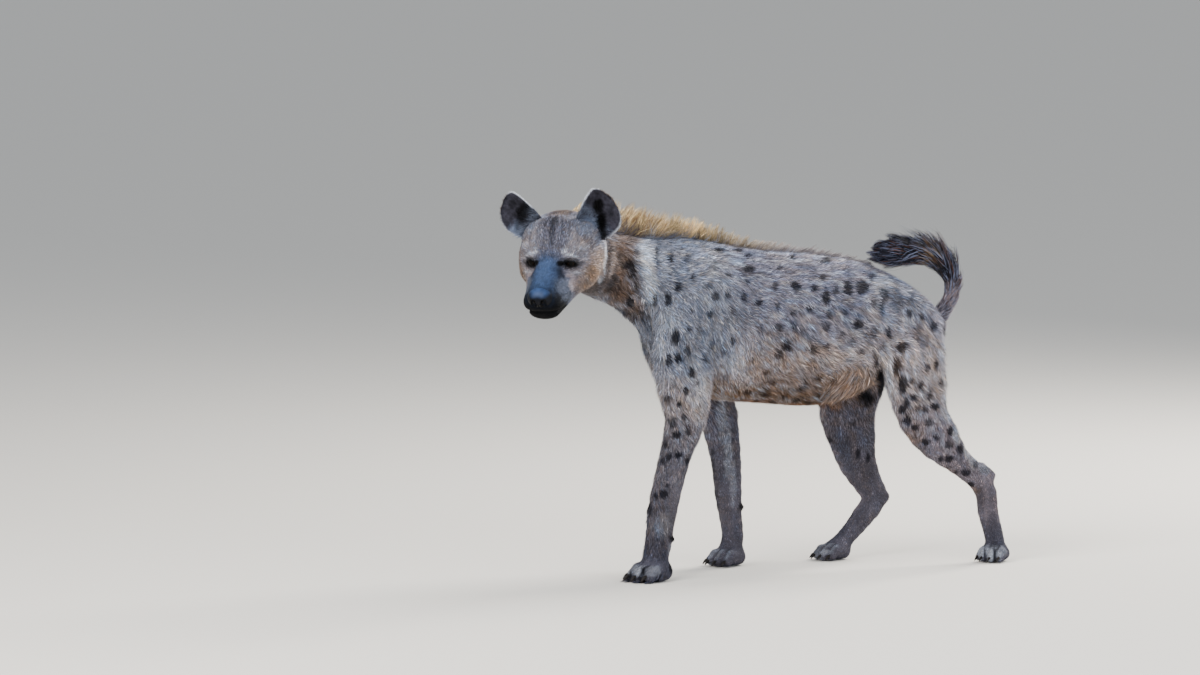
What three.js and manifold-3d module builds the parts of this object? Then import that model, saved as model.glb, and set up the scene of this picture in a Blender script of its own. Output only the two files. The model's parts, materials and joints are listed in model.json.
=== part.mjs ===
// A life-size model of a spotted hyena: walking stance, head turned to its left, tail curled over the rump.
// Millimetres. +X runs to the tail, +Y to the animal's right, +Z up. The soles are at z = 0.
// The flesh is one smooth field of muscle and bone masses. Every part is a loft whose sections are cast
// outwards on that field until they meet its skin, and flat cuts part the animal into its nodes.

import * as THREE from 'three';
import { LoftGeometry } from 'three/addons/geometries/LoftGeometry.js';
import { mergeVertices } from 'three/addons/utils/BufferGeometryUtils.js';
import Module from 'manifold-3d';

const wasm = await Module();
wasm.setup();

const { lerp, clamp, degToRad, seededRandom } = THREE.MathUtils;
const V = ( x, y, z ) => new THREE.Vector3( x, y, z );
const X = V( 1, 0, 0 );
const Y = V( 0, 1, 0 );

// Driving dimensions

const GAP = 0.3; // kept between neighbours that touch

const HEAD_YAW = degToRad( 46 ); // how far the head is turned to its left
const HEAD_PITCH = degToRad( 22 ); // how far the line of the palate points down
const EYE_MIDPOINT = V( - 740, - 200, 743 ); // the origin of the head's own frame
const HEAD_BLEND = 26; // how softly it runs into the neck
const HEAD_REACH = 420; // no part of the head is farther from its origin
const EYE = {
	radius: 15, forward: - 12, side: 41, up: - 5, turn: degToRad( 22 ),
	width: 27, height: 13, lid: 2.2, // the opening between the lids, and how thick they are
};
const EYE_HOLLOW = { ahead: 34, radius: 20, blend: 14, lidBlend: 7 }; // the socket around each eye
const EAR = { forward: - 98, side: 73, up: 45, lean: degToRad( 39 ), sweep: 0.1, thickness: 6, cup: 22 };
const EAR_POSE = { // how far each is laid outwards, and its size
	left: { drop: 0, size: 0.98 },
	right: { drop: degToRad( 16 ), size: 0.91 },
};
const MOUTH = [ // the line of the mouth from the front to its corners: forward, up
	[ 150, - 68 ], [ 112, - 70 ], [ 84, - 77 ], [ 50, - 83 ], [ 20, - 82 ], [ - 6, - 74 ],
];
const NOSE = { forward: 116, up: - 40, length: 19, width: 31, height: 19 }; // a ball around its pad
const NOSTRIL = [ // forward, away from the midline, up, radius
	[ 112, 9, - 42, 4 ], [ 121, 12, - 41, 4.5 ], [ 123, 17, - 38, 4 ],
	[ 120, 23, - 34, 2.5 ], [ 114, 30, - 32, 1.5 ],
];
const LIPS = { depth: 3.5, width: 4, corner: - 12, fade: 14 }; // the crease between them

// The ear's blade: heights above its base line, and how far it reaches up and down along that line
const EAR_OUTLINE = [
	[ - 26, 30, - 34 ], [ - 8, 40, - 42 ], [ 10, 48, - 46 ], [ 28, 56, - 48 ], [ 44, 61, - 47 ],
	[ 58, 64, - 40 ], [ 69, 62, - 28 ], [ 77, 50, - 12 ], [ 81, 34, 6 ],
];

// The trunk at stations along the back: x, top, bottom, half width
const TRUNK_SQUARENESS = 2.15; // the exponent of its section, 2 for an ellipse
const TRUNK_TAPER = 0.1; // how much narrower it is at the top than at its middle, as a share
const TRUNK = [
	[ - 396, 730, 545, 56 ],
	[ - 352, 752, 468, 82 ],
	[ - 300, 762, 410, 102 ],
	[ - 220, 754, 392, 114 ],
	[ - 120, 738, 382, 127 ],
	[ 0, 726, 371, 133 ],
	[ 90, 712, 377, 126 ],
	[ 170, 693, 410, 112 ],
	[ 250, 657, 455, 92 ],
	[ 330, 588, 480, 60 ],
];

// The line that the trunk's sections are cast from: x, z
const SPINE = [ [ - 425, 600 ], [ - 300, 580 ], [ 0, 560 ], [ 200, 560 ], [ 338, 532 ] ];

// Limbs, from the top down: x, distance from the midline, z, half width across, half depth fore and aft
const FORELEG = {
	left: [
		[ - 300, 56, 668, 30, 66 ], [ - 336, 78, 600, 42, 80 ], [ - 352, 90, 515, 48, 74 ],
		[ - 352, 100, 440, 45, 71 ], [ - 350, 104, 372, 39, 53 ], [ - 371, 103, 300, 33, 39 ],
		[ - 391, 101, 227, 30, 37 ], [ - 407, 100, 160, 29, 36 ], [ - 413, 100, 120, 28, 32 ],
		[ - 418, 100, 82, 27, 31 ], [ - 426, 100, 50, 27, 28 ], [ - 434, 100, 28, 25, 24 ],
	],
	right: [
		[ - 286, 56, 668, 30, 66 ], [ - 298, 78, 600, 42, 78 ], [ - 284, 90, 520, 48, 78 ],
		[ - 238, 100, 445, 45, 74 ], [ - 172, 104, 385, 40, 55 ], [ - 150, 103, 310, 33, 43 ],
		[ - 138, 101, 235, 30, 37 ], [ - 134, 100, 170, 29, 34 ], [ - 128, 100, 115, 28, 27 ],
		[ - 122, 100, 72, 26, 25 ], [ - 126, 100, 46, 26, 25 ], [ - 132, 100, 26, 24, 22 ],
	],
};
const HINDLEG = {
	left: [
		[ 250, 60, 548, 48, 82 ], [ 243, 76, 495, 54, 90 ], [ 252, 92, 420, 47, 78 ],
		[ 264, 100, 350, 40, 63 ], [ 306, 101, 291, 33, 53 ], [ 356, 101, 239, 27, 33 ],
		[ 412, 100, 194, 23, 29 ], [ 433, 100, 158, 22, 27 ], [ 437, 100, 120, 20, 26 ],
		[ 448, 100, 80, 21, 23 ], [ 456, 100, 50, 22, 22 ], [ 458, 100, 26, 22, 20 ],
	],
	right: [
		[ 245, 60, 548, 48, 82 ], [ 214, 76, 498, 54, 92 ], [ 186, 92, 415, 47, 86 ],
		[ 178, 100, 345, 40, 72 ], [ 190, 100, 280, 33, 60 ], [ 203, 100, 228, 27, 49 ],
		[ 230, 100, 178, 24, 37 ], [ 249, 100, 138, 22, 31 ], [ 218, 100, 97, 21, 27 ],
		[ 188, 100, 64, 22, 22 ], [ 164, 100, 42, 23, 20 ], [ 144, 100, 26, 22, 18 ],
	],
};
const LEG_LINE = 100; // how far the feet stand from the midline
const FORELEG_BLEND = 30;
const HINDLEG_BLEND = 34;

// The point of each hock and the pad behind each wrist: x, z, and where their mass begins from there
const HOCK = { left: [ 447, 201 ], right: [ 277, 141 ], from: [ - 26, 22 ], radius: [ 9, 11 ], blend: 16 };
const WRIST_PAD = { left: [ - 384, 94 ], right: [ - 100, 134 ], from: [ - 6, 5 ], radius: [ 8, 8 ], blend: 8 };

// Paws: the middle of the sole, the way it points and its size
const PAW = {
	foreleg_left: { x: - 428, y: - 101, turn: 8, scale: 1.06 },
	foreleg_right: { x: - 129, y: 100, turn: 14, scale: 0.94 },
	hindleg_left: { x: 460, y: - 102, turn: 30, scale: 0.86 },
	hindleg_right: { x: 146, y: 100, turn: 10, scale: 0.88 },
};

// The palm in the paw's own frame: forward, up, half width, half height
const PALM = [
	[ - 40, 14, 10, 8 ], [ - 34, 17, 20, 17 ], [ - 16, 21, 30, 24 ], [ 6, 21, 35, 24 ], [ 26, 18, 28, 16 ],
];

// Toes in the paw's own frame: how far to the side, how far forward, size
const TOES = [
	{ name: 'outer', side: - 31, reach: 46, size: 0.93 },
	{ name: 'second', side: - 11.5, reach: 58, size: 1 },
	{ name: 'third', side: 11.5, reach: 58, size: 1 },
	{ name: 'inner', side: 31, reach: 46, size: 0.93 },
];

// Neck and tail, from the body out: x, y, z, half width, half height
const NECK = [
	[ - 270, 0, 640, 86, 108 ], [ - 350, 0, 672, 84, 98 ], [ - 430, - 12, 692, 78, 87 ],
	[ - 520, - 42, 714, 73, 79 ], [ - 592, - 84, 735, 70, 76 ], [ - 655, - 125, 752, 68, 72 ],
];
const TAIL = [
	[ 322, 0, 540, 34, 32 ], [ 360, 0, 562, 24, 24 ], [ 384, 0, 592, 18, 18 ], [ 397, 0, 628, 17, 17 ],
	[ 386, 0, 664, 17, 16 ], [ 350, 0, 698, 17, 16 ], [ 296, 0, 710, 16, 13 ], [ 252, 0, 714, 12, 9 ],
	[ 222, 0, 716, 4, 3 ],
];
const TAIL_PARTS = [ 0.13, 0.44, 0.7 ]; // where its base, its bend and its tuft begin, as shares of it

// The crest of long hair along the nape and back: x, y, z of its roots, height of its tips
const CREST = [
	[ - 645, - 112, 822, 12 ], [ - 592, - 84, 808, 44 ], [ - 520, - 42, 792, 66 ], [ - 430, - 12, 777, 62 ],
	[ - 350, 0, 766, 38 ], [ - 260, 0, 756, 24 ], [ - 120, 0, 738, 16 ], [ 40, 0, 720, 13 ], [ 190, 0, 688, 8 ],
];
const RIDGE = { stations: 6, share: 0.42, width: 10, sunk: 8 }; // its under-hair, and how far up that reaches
const NAPE_END = 0.5; // where the nape's locks give way to the back's, along the crest's stations
const TALL = 40; // the height from which a lock is full size and stands up most
const LEAN = { low: 2.4, tall: 0.75 }; // towards the tail, as a share of a lock's height

// Locks of long hair: half width, half thickness and how deep the root lies, then the share of the
// width that is left on the way from the root to the tip
const LOCK = { width: 11, thickness: 3, root: 11 };
const LOCK_TAPER = [ [ 0, 0.75 ], [ 0.38, 1 ], [ 0.74, 0.66 ], [ 1, 0.07 ] ];
const NAPE = { locks: 34, rows: 3, apart: 11 };
const BACK = { locks: 27, rows: 2, apart: 10, size: 0.8 };
const BRUSH = {
	locks: 24, from: 0.37, to: 0.92, longest: 84, shortest: 62, // how long they are at the tail's root and tip
	root: 5, stand: 0.26, outside: 0.22, // how far from the tail's line they begin and stand off it
};
const GOLDEN_ANGLE = degToRad( 137.5 ); // turns each lock of the tail from the last

// How far a limb's fillet may reach past its own masses: a factor, and millimetres
const CORE_REACH = 1.15;
const CORE_MARGIN = 8;

// Where each leg begins inside the trunk, and its elbow or knee and wrist or ankle as shares of its length
const LEG_TOP = { foreleg: [ - 276, 46, 735 ], hindleg: [ 256, 54, 640 ] };
const LEG_CUTS = { foreleg: [ 0.5, 0.84 ], hindleg: [ 0.45, 0.84 ] };

// Blocks that part the limbs from the trunk: fore and aft, towards and away from the midline, height
const ARM_REGION = {
	left: {
		lower: { front: - 480, rear: - 320, inner: - 20, outer: 260, z: 60 },
		upper: { front: - 480, rear: - 232, inner: 74, outer: 260, z: 690 },
	},
	right: {
		lower: { front: - 480, rear: 34, inner: - 20, outer: 260, z: 60 },
		upper: { front: - 480, rear: - 210, inner: 74, outer: 260, z: 690 },
	},
};
const THIGH_REGION = {
	left: {
		lower: { front: 150, rear: 520, inner: - 58, outer: 260, z: 60 },
		upper: { front: 160, rear: 480, inner: 66, outer: 260, z: 585 },
	},
	right: {
		lower: { front: 0, rear: 520, inner: - 58, outer: 260, z: 60 },
		upper: { front: 120, rear: 480, inner: 66, outer: 260, z: 585 },
	},
};

// Colours
const COAT = '#8d8177';
const CREST_HAIR = '#a98a5c';
const TAIL_HAIR = '#2e2723';
const LEG_COAT = '#736b66';
const EAR_SKIN = '#4a433f';
const DARK_SKIN = '#26272a';
const CLAW_HORN = '#3a332c';
const EYE_BROWN = '#1d130c';

// Field of flesh

// A tapered capsule from a to b whose section is an ellipse: half width along side, half height across it
class Mass {

	constructor( a, b, sizeA, sizeB, side, blend ) {

		this.a = a;
		this.sizeA = sizeA;
		this.sizeB = sizeB;
		this.blend = blend;
		this.run = b.clone().sub( a );
		this.axis = this.run.clone().normalize();
		this.side = side.clone().addScaledVector( this.axis, - side.dot( this.axis ) ).normalize();
		this.up = this.axis.clone().cross( this.side );
		this.centre = a.clone().add( b ).multiplyScalar( 0.5 );
		this.reach = this.run.length() / 2 + Math.max( ...sizeA, ...sizeB );

	}

	distance( p ) {

		const q = p.clone().sub( this.a );
		const t = clamp( q.dot( this.run ) / this.run.lengthSq(), 0, 1 );
		q.addScaledVector( this.run, - t );
		const w = lerp( this.sizeA[ 0 ], this.sizeB[ 0 ], t );
		const h = lerp( this.sizeA[ 1 ], this.sizeB[ 1 ], t );
		const k = Math.hypot( q.dot( this.side ) / w, q.dot( this.up ) / h, q.dot( this.axis ) / h );
		return k < 1e-6 ? - Math.min( w, h ) : q.length() * ( 1 - 1 / k );

	}

}

function smoothMin( a, b, k ) {

	const h = Math.max( k - Math.abs( a - b ), 0 ) / k;
	return Math.min( a, b ) - h * h * k / 4;

}

function curveOf( stations ) {

	const points = stations.map( ( [ x, y, z ] ) => V( x, y, z ) );
	return new THREE.CatmullRomCurve3( points, false, 'centripetal' );

}

// A limb: masses that run through stations [ x, y, z, half width, half height ], and the blend that joins it
function limb( stations, blend, innerBlend = 3 ) {

	const path = curveOf( stations );
	const sizes = stations.map( ( s ) => V( s[ 3 ], s[ 4 ], 0 ) );
	const size = new THREE.CatmullRomCurve3( sizes, false, 'catmullrom', 0.4 );
	const steps = 2 * ( stations.length - 1 );
	const masses = [];
	for ( let i = 0; i < steps; i ++ ) {

		const [ from, to ] = [ i / steps, ( i + 1 ) / steps ];
		const [ sizeA, sizeB ] = [ from, to ].map( ( t ) => size.getPoint( t ).toArray().slice( 0, 2 ) );
		masses.push( new Mass( path.getPoint( from ), path.getPoint( to ), sizeA, sizeB, Y, innerBlend ) );

	}
	return { masses, blend };

}

// Distance to a body of masses that blend into each other
function bodyDistance( masses, p ) {

	let f = 1e3;
	for ( const m of masses ) {

		const far = p.distanceTo( m.centre ) - m.reach;
		if ( far < f + m.blend ) f = smoothMin( f, m.distance( p ), m.blend );

	}
	return f;

}

// One value of the trunk's stations at x, by a cubic through its neighbours
function trunkValue( column, x ) {

	const last = TRUNK.length - 1;
	let i = 0;
	while ( i < last - 1 && TRUNK[ i + 1 ][ 0 ] < x ) i ++;
	const at = ( j ) => TRUNK[ clamp( j, 0, last ) ];
	const t = ( x - at( i )[ 0 ] ) / ( at( i + 1 )[ 0 ] - at( i )[ 0 ] );
	const a = at( i )[ column ];
	const b = at( i + 1 )[ column ];
	const slopeA = ( b - at( i - 1 )[ column ] ) / 2;
	const slopeB = ( at( i + 2 )[ column ] - a ) / 2;
	const square = 3 * ( b - a ) - 2 * slopeA - slopeB;
	const cube = 2 * ( a - b ) + slopeA + slopeB;
	return a + slopeA * t + square * t ** 2 + cube * t ** 3;

}

function trunkDistance( p ) {

	const x = clamp( p.x, TRUNK[ 0 ][ 0 ], TRUNK[ TRUNK.length - 1 ][ 0 ] );
	const top = trunkValue( 1, x );
	const bottom = trunkValue( 2, x );
	const centre = ( top + bottom ) / 2;
	const high = ( p.z - centre ) / ( ( top - bottom ) / 2 );
	const across = p.y / ( trunkValue( 3, x ) * ( 1 - TRUNK_TAPER * clamp( high, - 1, 1 ) ) );
	const n = TRUNK_SQUARENESS;
	const k = ( Math.abs( high ) ** n + Math.abs( across ) ** n ) ** ( 1 / n );
	const radial = k < 1e-6 ? - trunkValue( 3, x ) : Math.hypot( p.y, p.z - centre ) * ( 1 - 1 / k );
	return Math.hypot( Math.max( radial, 0 ), p.x - x ) + Math.min( radial, 0 );

}

// The head's own frame: forward along the palate, side to the animal's right, up
const HEAD_FORWARD = V( - Math.cos( HEAD_YAW ), - Math.sin( HEAD_YAW ), 0 )
	.multiplyScalar( Math.cos( HEAD_PITCH ) ).setZ( - Math.sin( HEAD_PITCH ) );
const HEAD_SIDE = V( - Math.sin( HEAD_YAW ), Math.cos( HEAD_YAW ), 0 );
const HEAD_UP = HEAD_SIDE.clone().cross( HEAD_FORWARD );

function onHead( forward, side, up ) {

	return EYE_MIDPOINT.clone()
		.addScaledVector( HEAD_FORWARD, forward )
		.addScaledVector( HEAD_SIDE, side )
		.addScaledVector( HEAD_UP, up );

}

// A mass of the head, or a mirrored pair where it lies off the midline
function headMass( from, to, sizeA, sizeB, blend ) {

	const sides = from[ 1 ] === 0 ? [ 1 ] : [ - 1, 1 ];
	return sides.map( ( s ) => new Mass(
		onHead( from[ 0 ], s * from[ 1 ], from[ 2 ] ),
		onHead( to[ 0 ], s * to[ 1 ], to[ 2 ] ),
		sizeA, sizeB, HEAD_SIDE, blend,
	) );

}

const HEAD_MASSES = [
	...headMass( [ - 116, 0, 16 ], [ - 76, 0, 27 ], [ 72, 52 ], [ 66, 49 ], 26 ), // braincase
	...headMass( [ - 62, 0, 25 ], [ 0, 0, - 3 ], [ 54, 40 ], [ 36, 24 ], 22 ), // forehead
	...headMass( [ 0, 0, - 7 ], [ 98, 0, - 38 ], [ 38, 25 ], [ 28, 19 ], 16 ), // bridge
	...headMass( [ - 20, 0, - 50 ], [ 86, 0, - 58 ], [ 60, 38 ], [ 39, 27 ], 20 ), // muzzle
	...headMass( [ 34, 31, - 60 ], [ 92, 18, - 56 ], [ 20, 21 ], [ 19, 17 ], 12 ), // whisker pads
	...headMass( [ 98, 10, - 38 ], [ 106, 10, - 41 ], [ 17, 16 ], [ 15, 15 ], 7 ), // nose
	...headMass( [ - 70, 0, - 72 ], [ 84, 0, - 84 ], [ 68, 31 ], [ 34, 16 ], 14 ), // lower jaw
	...headMass( [ - 104, 53, - 12 ], [ - 58, 54, - 42 ], [ 45, 60 ], [ 40, 46 ], 22 ), // cheeks
	...headMass( [ - 54, 58, - 8 ], [ 14, 31, - 32 ], [ 26, 26 ], [ 22, 20 ], 26 ), // cheekbones
	...headMass( [ - 46, 46, 20 ], [ - 10, 37, 14 ], [ 24, 19 ], [ 15, 11 ], 24 ), // brows
];

// Height of the line of the mouth in the head's frame
function mouthUp( forward ) {

	let i = 0;
	while ( i < MOUTH.length - 2 && MOUTH[ i + 1 ][ 0 ] > forward ) i ++;
	const [ from, upFrom ] = MOUTH[ i ];
	const [ to, upTo ] = MOUTH[ i + 1 ];
	return lerp( upFrom, upTo, clamp( ( forward - from ) / ( to - from ), 0, 1 ) );

}

// The way an eye looks, turned out from the line of the head
const gaze = ( side ) => HEAD_FORWARD.clone()
	.multiplyScalar( Math.cos( EYE.turn ) )
	.addScaledVector( HEAD_SIDE, side * Math.sin( EYE.turn ) );
const eyeCentre = ( side ) => onHead( EYE.forward, side * EYE.side, EYE.up );

function headDistance( p ) {

	let f = bodyDistance( HEAD_MASSES, p );
	const q = p.clone().sub( EYE_MIDPOINT );
	const forward = q.dot( HEAD_FORWARD );
	const fade = clamp( ( forward - LIPS.corner ) / LIPS.fade, 0, 1 );
	const high = ( q.dot( HEAD_UP ) - mouthUp( forward ) ) / LIPS.width;
	f += LIPS.depth * fade * Math.exp( - high * high );
	for ( const side of [ - 1, 1 ] ) {

		const centre = eyeCentre( side );
		const before = centre.clone().addScaledVector( gaze( side ), EYE_HOLLOW.ahead );
		const hollow = p.distanceTo( before ) - EYE_HOLLOW.radius;
		f = - smoothMin( - f, hollow, EYE_HOLLOW.blend );
		f = smoothMin( f, p.distanceTo( centre ) - EYE.radius - EYE.lid, EYE_HOLLOW.lidBlend );

	}
	return f;

}

const handed = ( stations, side ) => stations.map( ( [ x, y, ...rest ] ) => [ x, side * y, ...rest ] );
const SIDES = { left: - 1, right: 1 };

const TORSO_BODY = { blend: 34, masses: [
	new Mass( V( - 346, 0, 594 ), V( - 284, 0, 494 ), [ 64, 56 ], [ 74, 62 ], Y, 20 ), // breast
	new Mass( V( 236, 0, 585 ), V( 300, 0, 545 ), [ 92, 54 ], [ 72, 44 ], Y, 20 ), // rump
] };
const NECK_LIMB = limb( NECK, 40 );
const LIMBS = [ TORSO_BODY, NECK_LIMB ];
const LEG_LIMBS = {};
for ( const [ name, side ] of Object.entries( SIDES ) ) {

	LEG_LIMBS[ `foreleg_${ name }` ] = limb( handed( FORELEG[ name ], side ), FORELEG_BLEND );
	LEG_LIMBS[ `hindleg_${ name }` ] = limb( handed( HINDLEG[ name ], side ), HINDLEG_BLEND );
	LIMBS.push( LEG_LIMBS[ `foreleg_${ name }` ], LEG_LIMBS[ `hindleg_${ name }` ] );
	for ( const bump of [ HOCK, WRIST_PAD ] ) {

		const [ x, z ] = bump[ name ];
		const start = V( x + bump.from[ 0 ], side * LEG_LINE, z + bump.from[ 1 ] );
		const end = V( x, side * LEG_LINE, z );
		const [ radiusA, radiusB ] = bump.radius;
		const mass = new Mass( start, end, [ radiusA, radiusA ], [ radiusB, radiusB ], Y, 1 );
		LIMBS.push( { blend: bump.blend, masses: [ mass ] } );

	}

}

function trunkFlesh( p ) {

	return smoothMin( trunkDistance( p ), bodyDistance( TORSO_BODY.masses, p ), TORSO_BODY.blend );

}

function flesh( p ) {

	let f = trunkDistance( p );
	for ( const { masses, blend } of LIMBS ) f = smoothMin( f, bodyDistance( masses, p ), blend );
	if ( p.distanceTo( EYE_MIDPOINT ) < HEAD_REACH ) f = smoothMin( f, headDistance( p ), HEAD_BLEND );
	return f;

}

// A seeded random number within a range about a value
seededRandom( 7 );
const spread = ( value, range ) => value + range * ( 2 * seededRandom() - 1 );

// Solids

function solid( geometry ) {

	const bare = new THREE.BufferGeometry();
	bare.setAttribute( 'position', geometry.attributes.position );
	bare.setIndex( geometry.index );
	const merged = mergeVertices( bare, 1e-3 );
	return new wasm.Manifold( new wasm.Mesh( {
		numProp: 3,
		vertProperties: new Float32Array( merged.attributes.position.array ),
		triVerts: new Uint32Array( merged.index.array ),
	} ) );

}

function loft( sections ) {

	return solid( new LoftGeometry( sections, { closed: true, capStart: true, capEnd: true } ) );

}

// How far from an origin a ray leaves the flesh
function castRay( origin, direction, field, longest, level ) {

	const value = ( r ) => field( origin.clone().addScaledVector( direction, r ) ) - level;
	let near = 0;
	let far = 0;
	let f = value( 0 );
	while ( f < 0 ) {

		near = far;
		far += Math.max( - f * 0.6, 1 );
		if ( far > longest ) return longest;
		f = value( far );

	}
	for ( let i = 0; i < 12; i ++ ) {

		const middle = ( near + far ) / 2;
		if ( value( middle ) > 0 ) far = middle; else near = middle;

	}
	return Math.max( near, 1 );

}

// The ring of points where rays across a station meet the skin, the first ray towards side.
// With a core, no ray goes much farther than where it leaves the core's own masses.
function castRing( { at, along }, side, rays, { field = flesh, longest = 400, level = 0, core = null } ) {

	const d = along.clone().normalize();
	const u = side.clone().addScaledVector( d, - side.dot( d ) ).normalize();
	const w = d.clone().cross( u );
	const ring = [];
	for ( let i = 0; i < rays; i ++ ) {

		const angle = i / rays * 2 * Math.PI;
		const direction = u.clone().multiplyScalar( Math.cos( angle ) );
		direction.addScaledVector( w, Math.sin( angle ) );
		let limit = longest;
		if ( core ) {

			const own = castRay( at, direction, ( p ) => bodyDistance( core.masses, p ), longest, 0 );
			limit = CORE_REACH * own + CORE_MARGIN;

		}
		ring.push( at.clone().addScaledVector( direction, castRay( at, direction, field, limit, level ) ) );

	}
	return ring;

}

function castLoft( stations, side, rays, options = {} ) {

	return loft( stations.map( ( station ) => castRing( station, side, rays, options ) ) );

}

function stationsAlong( curve, count, from = 0, to = 1, along = null ) {

	const list = [];
	for ( let i = 0; i <= count; i ++ ) {

		const t = lerp( from, to, i / count );
		list.push( { at: curve.getPointAt( t ), along: along ?? curve.getTangentAt( t ) } );

	}
	return list;

}

// Stations at the ends and middles of a curve's spans, so that its corners are kept
function stationsThrough( curve, perSpan ) {

	const count = perSpan * ( curve.points.length - 1 );
	return Array.from( { length: count + 1 }, ( _, i ) => {

		const t = i / count;
		return { at: curve.getPoint( t ), along: curve.getTangent( t ) };

	} );

}

// An elliptical tube through stations { at, w, h }, with side as the direction of its width
function tube( stations, side, rays ) {

	const curve = new THREE.CatmullRomCurve3( stations.map( ( s ) => s.at ) );
	return loft( stations.map( ( { at, w, h }, i ) => {

		const d = curve.getTangent( i / ( stations.length - 1 ) );
		const u = side.clone().addScaledVector( d, - side.dot( d ) ).normalize();
		const up = d.clone().cross( u );
		return Array.from( { length: rays }, ( _, j ) => {

			const angle = j / rays * 2 * Math.PI;
			const p = at.clone().addScaledVector( u, w * Math.cos( angle ) );
			return p.addScaledVector( up, h * Math.sin( angle ) );

		} );

	} ) );

}

// A flat tapered lock of hair along a path at( 0 to 1 ), with side as the direction of its width
function lock( at, side, size ) {

	return tube( LOCK_TAPER.map( ( [ s, share ] ) => ( {
		at: at( s ), w: LOCK.width * size * share, h: LOCK.thickness * size * Math.max( share, 0.2 ),
	} ) ), side, 4 );

}

function ball( centre, radius ) {

	return solid( new THREE.IcosahedronGeometry( radius, 1 ).translate( centre.x, centre.y, centre.z ) );

}

// A closed block between a lower and an upper rectangle: front x, rear x, inner y, outer y, z
function limbRegion( side, { lower, upper }, grow ) {

	const ring = ( r ) => {

		const inner = side * ( r.inner - grow );
		const corners = [
			V( r.front - grow, side * r.outer, r.z ), V( r.rear + grow, side * r.outer, r.z ),
			V( r.rear + grow, inner, r.z ), V( r.front - grow, inner, r.z ),
		];
		return side < 0 ? corners : corners.reverse();

	};
	return loft( [ ring( lower ), ring( { ...upper, z: upper.z + grow } ) ] );

}

// What lies past a plane in the direction of its normal, less half the gap
function beyond( body, point, normal ) {

	const n = normal.clone().normalize();
	return body.trimByPlane( [ n.x, n.y, n.z ], n.dot( point ) + GAP / 2 );

}

function before( body, point, normal ) {

	return beyond( body, point, normal.clone().negate() );

}

// Scene graph

const hyena = new THREE.Group();

function add( name, body, colour, roughness = 0.9 ) {

	const largest = body.decompose().reduce( ( a, b ) => ( b.volume() > a.volume() ? b : a ) );
	const { vertProperties, triVerts } = largest.getMesh();
	const geometry = new THREE.BufferGeometry();
	geometry.setAttribute( 'position', new THREE.BufferAttribute( new Float32Array( vertProperties ), 3 ) );
	geometry.setIndex( new THREE.BufferAttribute( new Uint32Array( triVerts ), 1 ) );
	const material = new THREE.MeshStandardMaterial( { color: colour, roughness, metalness: 0 } );
	const mesh = new THREE.Mesh( geometry, material );
	mesh.name = name;
	hyena.add( mesh );

}

// Planes that part the body
const NECK_CUT = { at: V( - 405, 0, 660 ), normal: V( - 300, 0, 95 ) };
const HEAD_CUT = {
	at: onHead( - 132, 0, 0 ),
	normal: HEAD_FORWARD.clone().addScaledVector( HEAD_UP, - 0.15 ),
};

// Tail, whose root stays with the trunk

const tailMasses = limb( TAIL, 0 ).masses;
const tailField = ( p ) => bodyDistance( tailMasses, p );
const tailPath = curveOf( TAIL );
const tailStations = stationsAlong( tailPath, 17, 0.02, 0.995 );
const tailCore = castLoft( tailStations, Y, 8, { field: tailField, longest: 60 } );

// Its brush: locks that lie along the tail towards the tip and stand off it, most on the outside of its curve
function tailLock( i ) {

	const t = lerp( BRUSH.from, BRUSH.to, ( i + 0.5 ) / BRUSH.locks );
	const turn = i * GOLDEN_ANGLE;
	const along = tailPath.getTangentAt( t );
	const outer = Y.clone().cross( along ).normalize();
	const away = outer.clone().multiplyScalar( Math.cos( turn ) ).addScaledVector( Y, Math.sin( turn ) );
	const outside = Math.max( Math.cos( turn ), 0 );
	const length = lerp( BRUSH.longest, BRUSH.shortest, t ) * spread( 1, 0.2 );
	const start = tailPath.getPointAt( t );
	const ahead = tailPath.getPointAt( Math.min( t + length / tailPath.getLength(), 1 ) ).sub( start );
	const run = along.clone().multiplyScalar( length ).lerp( ahead, 0.75 - 0.35 * outside );
	const stand = BRUSH.stand + spread( 0, 0.08 ) + BRUSH.outside * outside;
	const root = start.clone().addScaledVector( away, BRUSH.root );
	const path = ( s ) => root.clone()
		.addScaledVector( run, s )
		.addScaledVector( away, stand * length * s * ( 1.3 - 0.3 * s ) );
	return lock( path, away.clone().cross( along ), 1 );

}

const brush = Array.from( { length: BRUSH.locks }, ( _, i ) => tailLock( i ) );
const tail = wasm.Manifold.union( [ tailCore, ...brush ] );
const planeOfTail = ( t ) => ( { at: tailPath.getPointAt( t ), normal: tailPath.getTangentAt( t ) } );
const [ TAIL_ROOT, TAIL_BEND, TAIL_TUFT ] = TAIL_PARTS.map( planeOfTail );
const tailBeyondRoot = beyond( tail, TAIL_ROOT.at, TAIL_ROOT.normal );
const tailBeyondBend = beyond( tail, TAIL_BEND.at, TAIL_BEND.normal );
add( 'tail_base', before( tailBeyondRoot, TAIL_BEND.at, TAIL_BEND.normal ), COAT );
add( 'tail_bend', before( tailBeyondBend, TAIL_TUFT.at, TAIL_TUFT.normal ), TAIL_HAIR );
add( 'tail_tuft', beyond( tail, TAIL_TUFT.at, TAIL_TUFT.normal ), TAIL_HAIR );

// The whole body in one, then its nodes

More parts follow.
